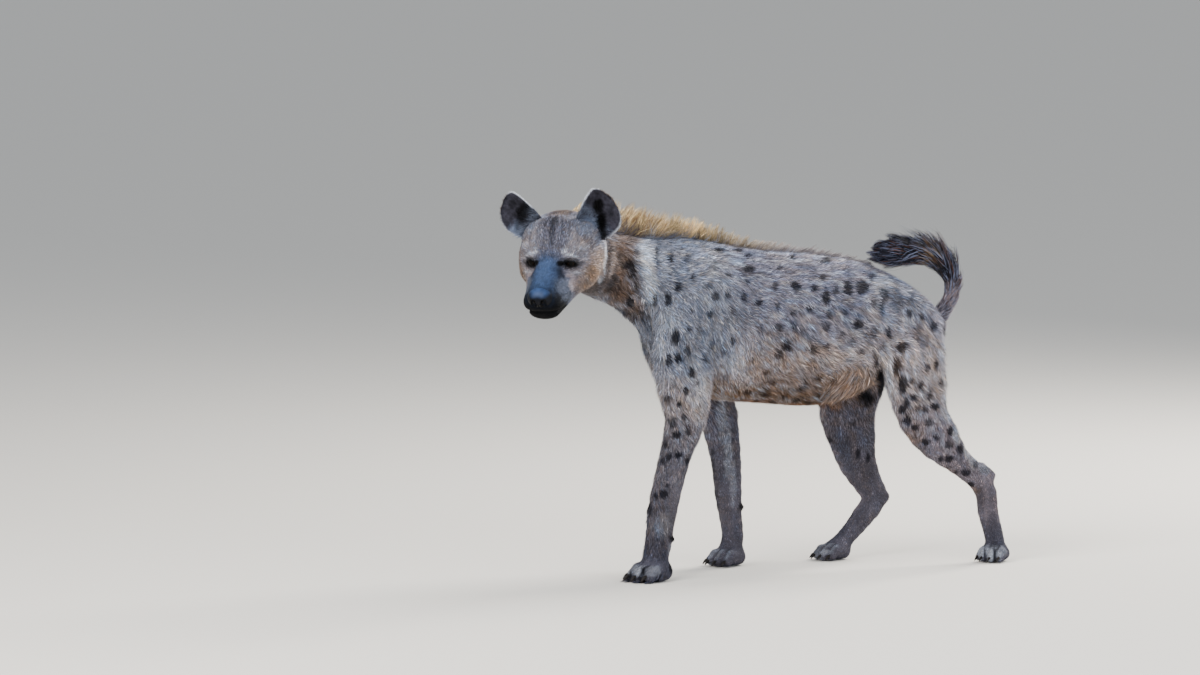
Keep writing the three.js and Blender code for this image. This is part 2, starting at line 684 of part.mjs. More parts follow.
const legs = [];
for ( const [ name, side ] of Object.entries( SIDES ) ) {

	for ( const leg of [ 'foreleg', 'hindleg' ] ) {

		const part = `${ leg }_${ name }`;
		const isArm = leg === 'foreleg';
		const stations = handed( isArm ? FORELEG[ name ] : HINDLEG[ name ], side );
		const path = curveOf( [ LEG_TOP[ leg ].map( ( v, i ) => ( i === 1 ? side * v : v ) ), ...stations ] );
		const body = castLoft( stationsThrough( path, 2 ), X, 12, { longest: 190, core: LEG_LIMBS[ part ] } );
		const planeAt = ( t ) => ( { at: path.getPointAt( t ), normal: path.getTangentAt( t ) } );
		const [ elbow, wrist ] = LEG_CUTS[ leg ].map( planeAt );
		elbow.normal.set( 0, 0, - 1 );
		const block = isArm ? ARM_REGION[ name ] : THIGH_REGION[ name ];
		legs.push( { part, body, elbow, wrist, region: ( grow ) => limbRegion( side, block, grow ) } );

	}

}

const spine = new THREE.CatmullRomCurve3( SPINE.map( ( [ x, z ] ) => V( x, 0, z ) ) );
const trunk = castLoft( stationsAlong( spine, 19, 0, 1, X ), Y, 24, { field: trunkFlesh } );
const neckPath = curveOf( NECK );
const neckBody = castLoft( stationsAlong( neckPath, 9, 0.05, 1 ), Y, 24, { longest: 240, core: NECK_LIMB } );
const whole = wasm.Manifold.union( [ trunk, neckBody, ...legs.map( ( { body } ) => body ) ] );

let torso = before( whole, NECK_CUT.at, NECK_CUT.normal );
for ( const { region } of legs ) torso = torso.subtract( region( GAP ) );
for ( const { body, elbow } of legs ) torso = torso.subtract( beyond( body, elbow.at, elbow.normal ) );
const neck = beyond( before( whole, HEAD_CUT.at, HEAD_CUT.normal ), NECK_CUT.at, NECK_CUT.normal );

// The crest: a low ridge of under-hair, and locks that rise from it and lean to the tail
const crestPath = new THREE.CatmullRomCurve3( CREST.map( ( [ x, y, z ] ) => V( x, y, z ) ) );
const crestHeight = new THREE.CatmullRomCurve3( CREST.map( ( s, i ) => V( i, s[ 3 ], 0 ) ) );

function crestLock( t, offset, size ) {

	const back = crestPath.getTangent( t );
	const height = crestHeight.getPoint( t ).y * spread( 1, 0.18 );
	const tall = clamp( height / TALL, 0, 1 );
	const lean = lerp( LEAN.low, LEAN.tall, tall ) * spread( 1, 0.25 );
	const up = V( 0, 0, 1 ).addScaledVector( Y, offset * 0.016 + spread( 0, 0.1 ) ).normalize();
	const root = crestPath.getPoint( t ).addScaledVector( Y, offset ).addScaledVector( up, - LOCK.root );
	const at = ( s ) => root.clone()
		.addScaledVector( up, s * ( height + LOCK.root ) )
		.addScaledVector( back, lean * height * s * s );
	return lock( at, back.clone().addScaledVector( Y, spread( 0, 0.35 ) ), lerp( size, 1, tall ) );

}

// Rows of locks side by side from one place along the crest to another
function crestLocks( { locks, rows, apart, size = 0.7 }, from, to ) {

	return Array.from( { length: locks }, ( _, i ) => {

		const row = i % rows - ( rows - 1 ) / 2;
		return crestLock( lerp( from, to, ( i + 0.5 ) / locks ), row * apart + spread( 0, 3 ), size );

	} );

}

const ridge = tube( CREST.slice( 0, RIDGE.stations ).map( ( [ x, y, z, height ] ) => ( {
	at: V( x, y, z - RIDGE.sunk ), w: RIDGE.width + height / 10, h: RIDGE.share * height + RIDGE.sunk,
} ) ), Y, 6 );
const crestHair = [ ...crestLocks( NAPE, 0.045, NAPE_END ), ...crestLocks( BACK, NAPE_END, 0.97 ) ];
const crest = wasm.Manifold.union( [ ridge, ...crestHair ] );
const backCrest = before( crest, NECK_CUT.at, NECK_CUT.normal );
const napeCrest = beyond( before( crest, HEAD_CUT.at, HEAD_CUT.normal ), NECK_CUT.at, NECK_CUT.normal );
add( 'torso', torso.add( backCrest ).add( before( tailCore, TAIL_ROOT.at, TAIL_ROOT.normal ) ), COAT );
add( 'neck', neck.add( napeCrest ), COAT );

// Legs

// One toe of a paw, in the paw's own frame: forward, side, up
function toeStations( side, reach, size ) {

	return [
		{ at: V( 12, side * 0.8, 26 ), w: 13 * size, h: 13 * size },
		{ at: V( reach - 24, side, 26 ), w: 14.5 * size, h: 14.5 * size },
		{ at: V( reach - 9, side * 1.03, 15 ), w: 13.5 * size, h: 17.5 * size },
		{ at: V( reach - 1, side * 1.05, 9 ), w: 7 * size, h: 10 * size },
	];

}

function buildPaw( name, paw, shin ) {

	const place = ( body ) => body
		.scale( paw.scale )
		.rotate( [ 0, 0, 180 + paw.turn ] )
		.translate( [ paw.x, paw.y, 0 ] );
	let body = tube( PALM.map( ( [ forward, up, w, h ] ) => ( { at: V( forward, 0, up ), w, h } ) ), Y, 10 );
	const claws = [];
	for ( const toe of TOES ) {

		body = body.add( tube( toeStations( toe.side, toe.reach, toe.size ), Y, 6 ) );
		const clawAt = ( grow ) => tube( [
			{ at: V( toe.reach - 8 - grow, toe.side * 1.05, 15 ), w: 3.4 + grow, h: 4.4 + grow },
			{ at: V( toe.reach + 5, toe.side * 1.065, 13.5 ), w: 3 + grow, h: 3.6 + grow },
			{ at: V( toe.reach + 13, toe.side * 1.08, 5 ), w: 1.1 + grow, h: 1.4 + grow },
		], Y, 4 );
		body = body.subtract( clawAt( GAP ) );
		claws.push( { name: toe.name, body: clawAt( 0 ) } );

	}
	body = place( body ).add( shin ).trimByPlane( [ 0, 0, 1 ], 0 );
	add( `${ name }_paw`, body, LEG_COAT );
	for ( const claw of claws ) add( `${ name }_claw_${ claw.name }`, place( claw.body ), CLAW_HORN, 0.5 );

}

for ( const { part, body, elbow, wrist, region } of legs ) {

	const limbBlock = before( whole.intersect( region( 0 ) ), NECK_CUT.at, NECK_CUT.normal );
	const upper = before( limbBlock, elbow.at, elbow.normal );
	const lower = before( beyond( body, elbow.at, elbow.normal ), wrist.at, wrist.normal );
	add( `${ part }_upper`, upper, COAT );
	add( `${ part }_lower`, lower, LEG_COAT );
	buildPaw( part, PAW[ part ], beyond( body, wrist.at, wrist.normal ) );

}

// Head

// The almond between the lids, a block along the gaze
function lidOpening( side ) {

	const centre = eyeCentre( side );
	const out = gaze( side );
	const across = HEAD_UP.clone().cross( out ).normalize().multiplyScalar( side ); // towards the temple
	const ring = ( distance ) => {

		const points = [];
		const count = 14;
		for ( let i = 0; i < count; i ++ ) {

			const angle = i / count * 2 * Math.PI;
			const x = EYE.width / 2 * Math.cos( angle );
			const high = Math.sign( Math.sin( angle ) ) * Math.abs( Math.sin( angle ) ) ** 1.3;
			const y = EYE.height / 2 * high + 0.12 * x;
			const p = centre.clone().addScaledVector( out, distance );
			points.push( p.addScaledVector( across, x ).addScaledVector( HEAD_UP, y ) );

		}
		return side > 0 ? points : points.reverse();

	};
	return loft( [ ring( 4 ), ring( 40 ) ] );

}

function earBody( side, { drop, size } ) {

	const base = V( EAR.forward, side * EAR.side, EAR.up );
	const lean = EAR.lean - drop;
	const along = V( 0, - side * Math.sin( lean ), Math.cos( lean ) );
	const out = V( - EAR.sweep, side * Math.cos( lean ), Math.sin( lean ) ).normalize();
	const facing = along.clone().cross( out ).multiplyScalar( - side ).normalize();
	const rows = 7;
	return loft( EAR_OUTLINE.map( ( [ height, top, bottom ], i ) => {

		const tipward = i / ( EAR_OUTLINE.length - 1 );
		const cup = EAR.cup * ( 1 - 0.75 * tipward );
		const thickness = lerp( EAR.thickness * 1.5, EAR.thickness * 0.5, tipward );
		const point = ( s, inner ) => {

			const edge = Math.sqrt( 1 - Math.min( s * s, 1 ) );
			const l = lerp( bottom, top, ( s + 1 ) / 2 );
			const depth = - cup * ( 1 - s * s ) + ( inner ? thickness * ( 0.25 + 0.75 * edge ) : 0 );
			const local = base.clone().addScaledVector( along, l * size );
			local.addScaledVector( out, height * size ).addScaledVector( facing, depth );
			return onHead( local.x, local.y, local.z );

		};
		const ring = [];
		for ( let j = 0; j <= rows; j ++ ) ring.push( point( lerp( - 1, 1, j / rows ), false ) );
		for ( let j = rows; j >= 0; j -- ) ring.push( point( lerp( - 1, 1, j / rows ), true ) );
		return side > 0 ? ring.reverse() : ring;

	} ) );

}

// The moist pad of the nose, out of the front of the muzzle
function noseRegion( grow ) {

	const shape = new THREE.IcosahedronGeometry( 1, 2 );
	const position = shape.attributes.position;
	for ( let i = 0; i < position.count; i ++ ) {

		const [ x, y, z ] = [ position.getX( i ), position.getY( i ), position.getZ( i ) ];
		const forward = NOSE.forward + x * ( NOSE.length + grow );
		const up = NOSE.up + z * ( NOSE.height + grow );
		const p = onHead( forward, - y * ( NOSE.width + grow ), up );
		position.setXYZ( i, p.x, p.y, p.z );

	}
	return solid( shape );

}

function nostril( side ) {

	return tube( NOSTRIL.map( ( [ forward, away, up, radius ] ) => (
		{ at: onHead( forward, side * away, up ), w: radius, h: radius }
	) ), HEAD_UP, 6 );

}

// All that lies under the line of the mouth, back to its corners
function jawRegion( grow = 0 ) {

	const outline = MOUTH.map( ( [ forward, up ] ) => [ forward, up + grow ] );
	outline[ outline.length - 1 ][ 0 ] -= grow;
	outline.push( [ MOUTH.at( - 1 )[ 0 ] - grow, - 150 ], [ MOUTH[ 0 ][ 0 ], - 150 ] );
	const wall = ( side ) => outline.map( ( [ forward, up ] ) => onHead( forward, side, up ) );
	return loft( [ wall( - 90 ), wall( 90 ) ] );

}

const skullAxis = new THREE.LineCurve3( onHead( - 165, 0, 0 ), onHead( 119, 0, - 47 ) );
const skullStations = stationsAlong( skullAxis, 26, 0, 1, HEAD_FORWARD );
const skull = ( level ) => castLoft( skullStations, HEAD_SIDE, 30, { longest: 200, level } );
let head = beyond( skull( 0 ), HEAD_CUT.at, HEAD_CUT.normal );

const ears = {};
for ( const [ name, side ] of Object.entries( SIDES ) ) {

	const centre = eyeCentre( side );
	head = head.subtract( ball( centre, EYE.radius + GAP ) ).subtract( lidOpening( side ) );
	add( `eye_${ name }`, ball( centre, EYE.radius ), EYE_BROWN, 0.15 );
	ears[ name ] = earBody( side, EAR_POSE[ name ] );

}
const pad = noseRegion( 0 );
const jaw = jawRegion();
add( 'nose', head.intersect( pad ).subtract( nostril( - 1 ) ).subtract( nostril( 1 ) ), DARK_SKIN, 0.45 );
head = head.subtract( noseRegion( GAP ) );
add( 'lower_jaw', head.intersect( jaw ), DARK_SKIN );
add( 'head', head.subtract( jawRegion( GAP ) ), COAT );
const roomForHead = skull( 2 * GAP );
for ( const [ name, ear ] of Object.entries( ears ) ) {

	add( `ear_${ name }`, ear.subtract( roomForHead ), EAR_SKIN );

}

// The origin goes under the middle of the model, at the level of the soles
const box = new THREE.Box3().setFromObject( hyena );
hyena.position.set( - ( box.min.x + box.max.x ) / 2, - ( box.min.y + box.max.y ) / 2, - box.min.z );

export default hyena;
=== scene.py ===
"""Skin, coat, crest, tail brush, eyes, nose, ears, claws and studio of a life-size spotted hyena."""

import json
import math
from contextlib import contextmanager

import bmesh
import bpy
import numpy as np
from bpy.props import FloatProperty, FloatVectorProperty, IntProperty, PointerProperty
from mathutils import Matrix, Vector
from mathutils.kdtree import KDTree

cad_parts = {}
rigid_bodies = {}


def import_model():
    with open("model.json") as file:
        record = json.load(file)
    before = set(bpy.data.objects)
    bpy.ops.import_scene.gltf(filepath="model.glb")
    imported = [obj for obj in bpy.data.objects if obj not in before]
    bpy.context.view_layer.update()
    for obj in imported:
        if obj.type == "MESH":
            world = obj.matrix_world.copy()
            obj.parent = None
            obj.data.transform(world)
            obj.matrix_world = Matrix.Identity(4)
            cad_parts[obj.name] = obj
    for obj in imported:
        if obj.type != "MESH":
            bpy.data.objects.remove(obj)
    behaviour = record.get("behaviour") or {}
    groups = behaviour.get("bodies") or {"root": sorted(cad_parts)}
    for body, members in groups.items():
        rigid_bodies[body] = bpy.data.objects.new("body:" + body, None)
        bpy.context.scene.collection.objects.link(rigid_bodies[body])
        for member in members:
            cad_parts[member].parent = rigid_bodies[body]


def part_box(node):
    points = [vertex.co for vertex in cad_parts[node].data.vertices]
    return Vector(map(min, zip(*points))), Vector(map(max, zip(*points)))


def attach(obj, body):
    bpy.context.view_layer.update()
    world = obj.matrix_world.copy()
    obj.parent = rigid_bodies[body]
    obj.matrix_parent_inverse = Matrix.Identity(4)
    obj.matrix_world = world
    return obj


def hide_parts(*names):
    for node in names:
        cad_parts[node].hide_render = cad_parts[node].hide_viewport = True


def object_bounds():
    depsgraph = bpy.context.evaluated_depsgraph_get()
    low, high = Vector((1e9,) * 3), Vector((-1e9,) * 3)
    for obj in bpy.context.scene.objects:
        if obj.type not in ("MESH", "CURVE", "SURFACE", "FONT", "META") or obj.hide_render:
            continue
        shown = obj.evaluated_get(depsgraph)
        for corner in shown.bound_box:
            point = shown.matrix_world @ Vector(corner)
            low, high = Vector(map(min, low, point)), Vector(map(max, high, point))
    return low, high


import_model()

bl_info = {
    "name": "Spotted hyena",
    "version": (1, 0, 0),
    "blender": (4, 5, 0),
    "location": "View3D > Sidebar > Hyena",
    "description": "Builds the skin, coat and studio of a life-size spotted hyena",
    "category": "Add Mesh",
}

CAD_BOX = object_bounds()

# Sizes of the animal, in millimetres: +X to the tail, +Y to its right, +Z up

SIDES = {"left": -1, "right": 1}
HEAD_YAW = math.radians(46)
HEAD_PITCH = math.radians(22)
EYE_MIDPOINT = np.array([-740.0, -200.0, 743.0])
EYE_RADIUS = 15.0
EYE_PLACE = (-12.0, 41.0, -5.0)  # forward, side, up in the head's frame
EYE_TURN = math.radians(22)
EYE_BULGE = 0.06  # how far the clear front of the eye stands out, as a share of its radius
EYE_FIT = 0.97  # its size beside the solid eyeball's
EYE_OPENING = (27.0, 10.5)  # between the corners, between the lids
EYE_SLANT = 0.12  # how far the opening rises towards the nose
LID = 2.2
LID_TURNS = (2.2, 4.5)  # how far the rims of the lids turn in, in two steps
LID_END = 2.5  # how far inside the eyeball's surface they end
# Folds round the eyes: depth, distance from the eye's middle, width, heights where they start and are full
EYE_FOLDS = [
    (1.5, 11.0, 1.5, 0, 5), (1.2, 11.5, 1.5, 0, -5), (1.0, 17.5, 1.9, -2, -9), (-2.4, 17.0, 4.5, 4, 12),
]
EAR = {"forward": -98.0, "side": 73.0, "up": 45.0, "thickness": 6.0, "cup": 22.0}
EAR_LEAN = math.radians(39)
EAR_POSE = {"left": (0.0, 0.98), "right": (math.radians(16), 0.91)}  # laid outwards, size
# The outline of the opened ear: height over its base, top and bottom edge
EAR_OUTLINE = [
    (-26, 30, -34), (-8, 40, -42), (10, 48, -46), (28, 56, -48), (44, 61, -47),
    (58, 64, -40), (69, 62, -28), (77, 50, -12), (81, 34, 6),
]
EYE_HOLLOW = (34, 20, 14)  # how far its middle is before the eye, radius, blend
LIP_GROOVE = 3.5
MOUTH = [(150, -68), (112, -70), (84, -77), (50, -83), (20, -82), (-6, -74)]  # forward, up

# The trunk at stations along the back: x, top, bottom, half width
TRUNK = np.array([
    (-396, 730, 545, 56), (-352, 752, 468, 82), (-300, 762, 410, 102), (-220, 754, 392, 114),
    (-120, 738, 382, 127), (0, 726, 371, 133), (90, 712, 377, 126), (170, 693, 410, 112),
    (250, 657, 455, 92), (330, 588, 480, 60),
], float)

# Limbs, from the top down: x, distance from the midline, z, half width across, half depth
FORELEG = {
    "left": [
        (-300, 56, 668, 30, 66), (-336, 78, 600, 42, 80), (-352, 90, 515, 48, 74),
        (-352, 100, 440, 45, 71), (-350, 104, 372, 39, 53), (-371, 103, 300, 33, 39),
        (-391, 101, 227, 30, 37), (-407, 100, 160, 29, 36), (-413, 100, 120, 28, 32),
        (-418, 100, 82, 27, 31), (-426, 100, 50, 27, 28), (-434, 100, 28, 25, 24),
    ],
    "right": [
        (-286, 56, 668, 30, 66), (-298, 78, 600, 42, 78), (-284, 90, 520, 48, 78),
        (-238, 100, 445, 45, 74), (-172, 104, 385, 40, 55), (-150, 103, 310, 33, 43),
        (-138, 101, 235, 30, 37), (-134, 100, 170, 29, 34), (-128, 100, 115, 28, 27),
        (-122, 100, 72, 26, 25), (-126, 100, 46, 26, 25), (-132, 100, 26, 24, 22),
    ],
}
HINDLEG = {
    "left": [
        (250, 60, 548, 48, 82), (243, 76, 495, 54, 90), (252, 92, 420, 47, 78),
        (264, 100, 350, 40, 63), (306, 101, 291, 33, 53), (356, 101, 239, 27, 33),
        (412, 100, 194, 23, 29), (433, 100, 158, 22, 27), (437, 100, 120, 20, 26),
        (448, 100, 80, 21, 23), (456, 100, 50, 22, 22), (458, 100, 26, 22, 20),
    ],
    "right": [
        (245, 60, 548, 48, 82), (214, 76, 498, 54, 92), (186, 92, 415, 47, 86),
        (178, 100, 345, 40, 72), (190, 100, 280, 33, 60), (203, 100, 228, 27, 49),
        (230, 100, 178, 24, 37), (249, 100, 138, 22, 31), (218, 100, 97, 21, 27),
        (188, 100, 64, 22, 22), (164, 100, 42, 23, 20), (144, 100, 26, 22, 18),
    ],
}
HOCK = {"left": (447, 201), "right": (277, 141)}
WRIST_PAD = {"left": (-384, 94), "right": (-100, 134)}

# Paws: x and y of the sole's middle, degrees it is turned by, size
PAWS = {
    "foreleg_left": (-428, -101, 8, 1.06),
    "foreleg_right": (-129, 100, 14, 0.94),
    "hindleg_left": (460, -102, 30, 0.86),
    "hindleg_right": (146, 100, 10, 0.88),
}
TOE_GAPS = (-21, 0, 21)
# Toes: distance from the paw's middle line, reach and size
TOES = {
    "outer": (-31, 46, 0.93),
    "second": (-11.5, 58, 1.0),
    "third": (11.5, 58, 1.0),
    "inner": (31, 46, 0.93),
}
# Claws: places along them from root to tip, and half width and half height there
CLAW_PLACES = [0, 0.4, 0.8, 1]
CLAW_WIDTH = [3.4, 3.2, 2.1, 1.0]
CLAW_HEIGHT = [4.4, 3.9, 2.4, 1.1]
CLAW_CUTS = (0, -0.5, 0.5, 0.75, 0.9)  # where the cylinder is cut, from -1 at its root to 1

# Neck and tail, from the body out: x, y, z, half width, half height
NECK = [
    (-270, 0, 640, 86, 108), (-350, 0, 672, 84, 98), (-430, -12, 692, 78, 87),
    (-520, -42, 714, 73, 79), (-592, -84, 735, 70, 76), (-655, -125, 752, 68, 72),
]
TAIL = [
    (322, 0, 540, 34, 32), (360, 0, 562, 24, 24), (384, 0, 592, 18, 18), (397, 0, 628, 17, 17),
    (386, 0, 664, 17, 16), (350, 0, 698, 17, 16), (296, 0, 710, 16, 13), (252, 0, 714, 12, 9),
    (222, 0, 716, 4, 3),
]

# The crest: x, y, z of its roots, height of its tips
CREST = [
    (-645, -112, 822, 12), (-592, -84, 808, 40), (-520, -42, 792, 58), (-430, -12, 777, 60),
    (-350, 0, 766, 46), (-260, 0, 756, 32), (-120, 0, 738, 20), (40, 0, 720, 15), (190, 0, 688, 8),
]

# The nose pad: its middle in the head's frame, the half sizes it starts with and may reach
NOSE_CENTRE = np.array([102.0, 0, -38])
NOSE_START = np.array([17, 25, 15])
NOSE_LIMIT = np.array([26, 34, 25])
# A nostril: forward, side, up and radius
NOSTRIL = np.array([
    (112, 9, -42, 4), (121, 12, -41, 4.8), (123, 17, -38, 4.2), (120, 23, -34, 2.6), (114, 30, -32, 1.6),
], float)

# The coat: its depth, and its tufts' length, lift in radians and number for each square millimetre
COAT_DEPTH = {
    "foot": 1.2, "more_on_leg": 1.4, "more_on_trunk": 3.8, "head": 2.6, "muzzle": 1.2, "tail": 5.0,
}
TUFT_LENGTH = {
    "leg": 7.0, "trunk": 15.0, "flank": 20.0, "neck": 19.0, "foot": 6.0, "head": 9.0, "muzzle": 4.5,
}
TUFT_LIFT = {"leg": 0.12, "trunk": 0.27, "head": 0.16}
TUFT_DENSITY = {"leg": 0.2, "trunk": 0.13, "foot": 0.2, "head": 0.3, "muzzle": 0.36}
EAR_DENSITY = 0.34
FRINGE_DENSITY = 0.03
FLATNESS = {"ear": 0.3, "short": 0.28, "fringe": 0.25, "long": 0.22}  # how far a tuft's ridge stands out
# Long tufts: the shares of their length after which they bend, and how they narrow
CREST_BENDS = (0.4, 0.33, 0.27)
BRUSH_BENDS = (0.36, 0.34, 0.3)
FRINGE_BENDS = (0.45, 0.55)
LONG_TAPER = np.array([1, 0.9, 0.55])
# Locks: how many tufts are in one, and how far they are drawn to its tip
CREST_LOCKS = (13, 0.7)
BRUSH_LOCKS = (26, 0.78)
FRINGE_LOCKS = (9, 0.6)
LEG_TOP = 430
BOX_MARGIN = 0.6  # what stays free between the hair and the solids' box
UV_PATCH = 0.0015  # half size of a tuft's patch on the unwrap

# Fineness of the meshes
VOXEL = 6.0  # of the remesh that melts the body together
TRUNK_RINGS = 60
TRUNK_AROUND = 40
EAR_RINGS = 34
EAR_ROWS = 22
TAIL_STEPS = 40

# How far off a point still feels the head, the folds of the face and a limb
HEAD_REACH = 420
FACE_REACH = 200
LIMB_REACH = 150
FAR = 1e3  # stands for nothing near

# Names that the pieces share
COAT_COLOUR = "coat_colour"
UV_MAP = "OFBake"

# The photograph's view: the picture's right and the way back to the camera
VIEW_RIGHT = np.array([0.891, -0.454, 0.0]) / math.hypot(0.891, 0.454)
VIEW_BACK = np.array([-0.4523, -0.8876, 0.0872]) / math.sqrt(0.4523**2 + 0.8876**2 + 0.0872**2)
VIEW_UP = np.cross(VIEW_BACK, VIEW_RIGHT)
PIXELS_PER_METRE = 436
PICTURE = (1200, 675)
ORIGIN_PIXEL = (800, 567)  # where the animal's own origin falls in the picture
CAMERA_AWAY = 20.0
VIEW_AIM = (
    VIEW_RIGHT * (PICTURE[0] / 2 - ORIGIN_PIXEL[0]) + VIEW_UP * (ORIGIN_PIXEL[1] - PICTURE[1] / 2)
) / PIXELS_PER_METRE
SENSOR = 36  # the camera's, in millimetres

SEED = 11
FLOOR_SIZE = 160
LAMP_AIM = (0, 0, 0.5)
# The lamps: right, up and towards the camera in metres, size, tint
LIGHTS = {
    "key": (-2.4, 3.6, 3.0, 2.8, (1.0, 0.97, 0.93)),
    "fill": (2.6, 1.6, 3.6, 3.2, (0.86, 0.92, 1.0)),
    "rim": (2.6, 3.2, -2.6, 2.2, (1.0, 0.96, 0.9)),
}

# The dark spots on the side that the picture shows, by how dark they are: x, y and half sizes in its pixels
SPOTS_SEEN = {
    0.95: [
        (678.6, 404.5, 3.5, 3.5), (676.7, 435, 4, 3.5), (678.6, 454.8, 4, 3.2), (669, 457, 3.5, 4),
        (687.5, 462, 2, 5), (664.5, 493, 4.5, 5), (656, 496, 2.2, 3.5), (670.5, 258, 3, 6),
        (678, 286, 4, 6), (668, 299, 3.5, 7), (749, 269, 7, 4), (796, 286, 6, 5), (760, 303, 4, 4),
        (676, 337, 4, 7), (669, 360, 3, 6), (678, 358, 3, 6), (692, 372, 3, 6), (787, 346, 5, 5),
        (814, 288, 4, 4), (826, 298, 4, 7), (848, 288, 5, 7), (862, 288, 6, 7), (858, 325, 5, 6),
        (889, 333, 3, 6), (902, 346, 5, 6), (933, 326, 4, 6), (944, 329, 2, 6), (936, 364, 3.5, 5),
        (928, 367, 3, 5), (897, 366, 4, 9), (902, 384, 5, 10), (941, 383, 3, 5), (921, 386, 3, 6),
        (914, 397, 5, 5), (906, 402, 4, 5), (947, 404, 2, 6), (934, 406, 5, 4), (902, 410, 3.5, 5),
        (907, 420, 4.5, 5), (819, 378, 4, 3), (806, 383, 3, 3), (747, 393, 5, 2.5), (766, 395, 4, 2.5),
        (784, 396.5, 4, 2.5), (796, 400, 5, 3), (772, 402, 5, 2), (756, 401, 3, 1.5), (808, 403, 4, 2),
        (686, 391, 3, 4), (949.5, 431, 3.2, 4.6), (926.2, 441.4, 4.6, 3.6), (936.8, 438, 3.8, 3.4),
        (959.8, 449.5, 3.2, 4.6), (948.6, 458.7, 4.2, 3.8), (941, 458.5, 2.4, 3), (965.6, 472.8, 5, 3.4),
        (970.2, 484.2, 4, 2.6), (858, 452.8, 3, 4.4), (868.3, 457.6, 2, 4), (915, 427.5, 4, 3),
        (720, 249.5, 5, 2), (738, 250, 5, 2), (748, 255, 4, 2.5), (765, 250, 5, 2), (792, 257, 4, 2.5),
        (826, 260, 6, 3),
    ],
    0.8: [
        (667, 399, 4, 4), (699.5, 406.5, 2, 2), (673, 423.5, 5, 4.5), (689, 431, 3, 4.5),
        (666, 445, 4, 3.5), (662.5, 461.5, 3, 3.5), (667, 486, 3, 2.5), (650, 509, 2.5, 6),
        (684, 417, 2.5, 3), (693, 276.5, 2.5, 5), (655, 300.5, 3, 6), (729, 275, 3, 2), (748, 282, 3, 2),
        (780, 267, 3, 3), (775.5, 286.5, 3, 5), (744.5, 296, 4, 6), (716, 296, 4, 5), (728, 296, 3, 3),
        (778, 306, 3, 5), (793, 313, 3, 3), (692, 311, 2, 3), (709.5, 315, 3, 4), (689, 329.5, 2, 4),
        (688, 350.5, 3, 5), (705, 359.5, 3, 5), (733, 340.5, 2, 4), (753, 361, 3, 2), (765.5, 373, 3, 2),
        (772, 383, 4, 2), (779.5, 327, 4, 4), (794, 327.5, 3, 5), (779.5, 356, 5, 5), (698, 384, 2, 3),
        (823, 277, 3, 4), (835.5, 291.5, 4, 5), (872, 276.5, 3, 4), (809.5, 310.5, 3, 4),
        (829, 314.5, 2.5, 3.5), (845, 313, 3, 3), (827, 328, 4, 5), (842, 334, 3, 3), (874.5, 330.5, 3, 6),
        (882, 306, 3, 9), (884.5, 295, 5, 6), (909, 313, 3, 4), (922, 317, 3, 4), (945.5, 350.5, 2, 4),
        (948, 358, 2, 4), (912, 380.5, 3, 3), (929, 396, 3, 4), (925.5, 409.5, 4, 4), (918, 408.5, 3, 3),
        (929, 423, 4, 4), (814.5, 349.5, 4, 5), (825.5, 347, 3, 3), (861.5, 351.5, 3, 3),
        (834.5, 380.5, 4, 3), (801, 389, 4, 3), (949.5, 444.5, 4, 4), (956, 472, 2.5, 2),
        (975.5, 465, 2.5, 4), (829.5, 440, 3, 3),
    ],
    0.55: [
        (686.5, 259.5, 3, 5), (709.5, 285.5, 4, 4), (714.5, 263, 3, 3), (672, 387, 4, 3),
        (848, 270.5, 4, 4), (851, 341.5, 4, 4), (881.5, 348, 4, 6), (898, 301.5, 6, 12), (911, 300.5, 4, 9),
        (875.5, 303, 4, 4), (918, 330.5, 4, 8), (923, 341.5, 8, 8), (949, 467, 3, 2), (854.5, 424.5, 2, 3),
        (984, 470, 5, 3.5), (780, 326, 3, 5), (733, 312, 3, 5), (700, 330, 3, 5), (760, 330, 3, 4),
        (712, 345, 3, 5),
    ],
}

# Soft marks on the same side: x, y, half sizes and strength, in the picture
# Pale marks, partly painted highlights
PALE_AND_HIGHLIGHT_MARKS = [
    # Band on the neck
    (648, 262, 6, 18, 1.0), (650, 290, 6, 16, 1.0), (644, 248, 5, 8, 0.6),
    # Toes
    (625.5, 572, 4, 5, 0.55), (637, 571, 3, 5, 0.4), (677, 564, 3, 7, 0.55), (671, 551, 3, 6, 0.35),
    (981, 553, 3, 8, 0.5), (990, 556, 3.5, 7, 0.6), (999, 556, 3, 6, 0.35), (706, 566, 5, 5, 0.4),
    (815, 557, 7, 5, 0.4), (824, 552, 6, 3, 0.4),
    # Near foreleg and shoulder, with painted highlights on the shoulder
    (667, 322, 10, 12, 0.5), (661, 345, 5, 14, 0.45), (701, 395, 5, 22, 0.45), (661, 526, 9, 11, 0.16),
    # Far foreleg
    (722, 420, 5, 22, 0.3), (728, 452, 4, 24, 0.3), (733, 484, 3, 20, 0.25),
    # Thigh and shank
    (889, 372, 4, 24, 0.6), (945, 350, 4, 16, 0.5), (946, 385, 3, 30, 0.45), (886, 380, 5, 16, 0.4),
    (948, 410, 4, 14, 0.5), (957, 432, 4, 10, 0.6), (968, 448, 4, 9, 0.55), (974, 462, 4, 7, 0.45),
    (984, 468, 5, 5, 0.45),
    # Back, flank and rump, with painted highlights on the top of the rump
    (900, 300, 26, 24, 0.16), (882, 284, 10, 8, 0.5), (906, 276, 12, 6, 0.3), (735, 365, 12, 10, 0.35),
    (712, 300, 9, 8, 0.25), (745, 265.5, 3, 1.5, 0.6), (840.5, 284, 1.5, 2.5, 0.7),
]
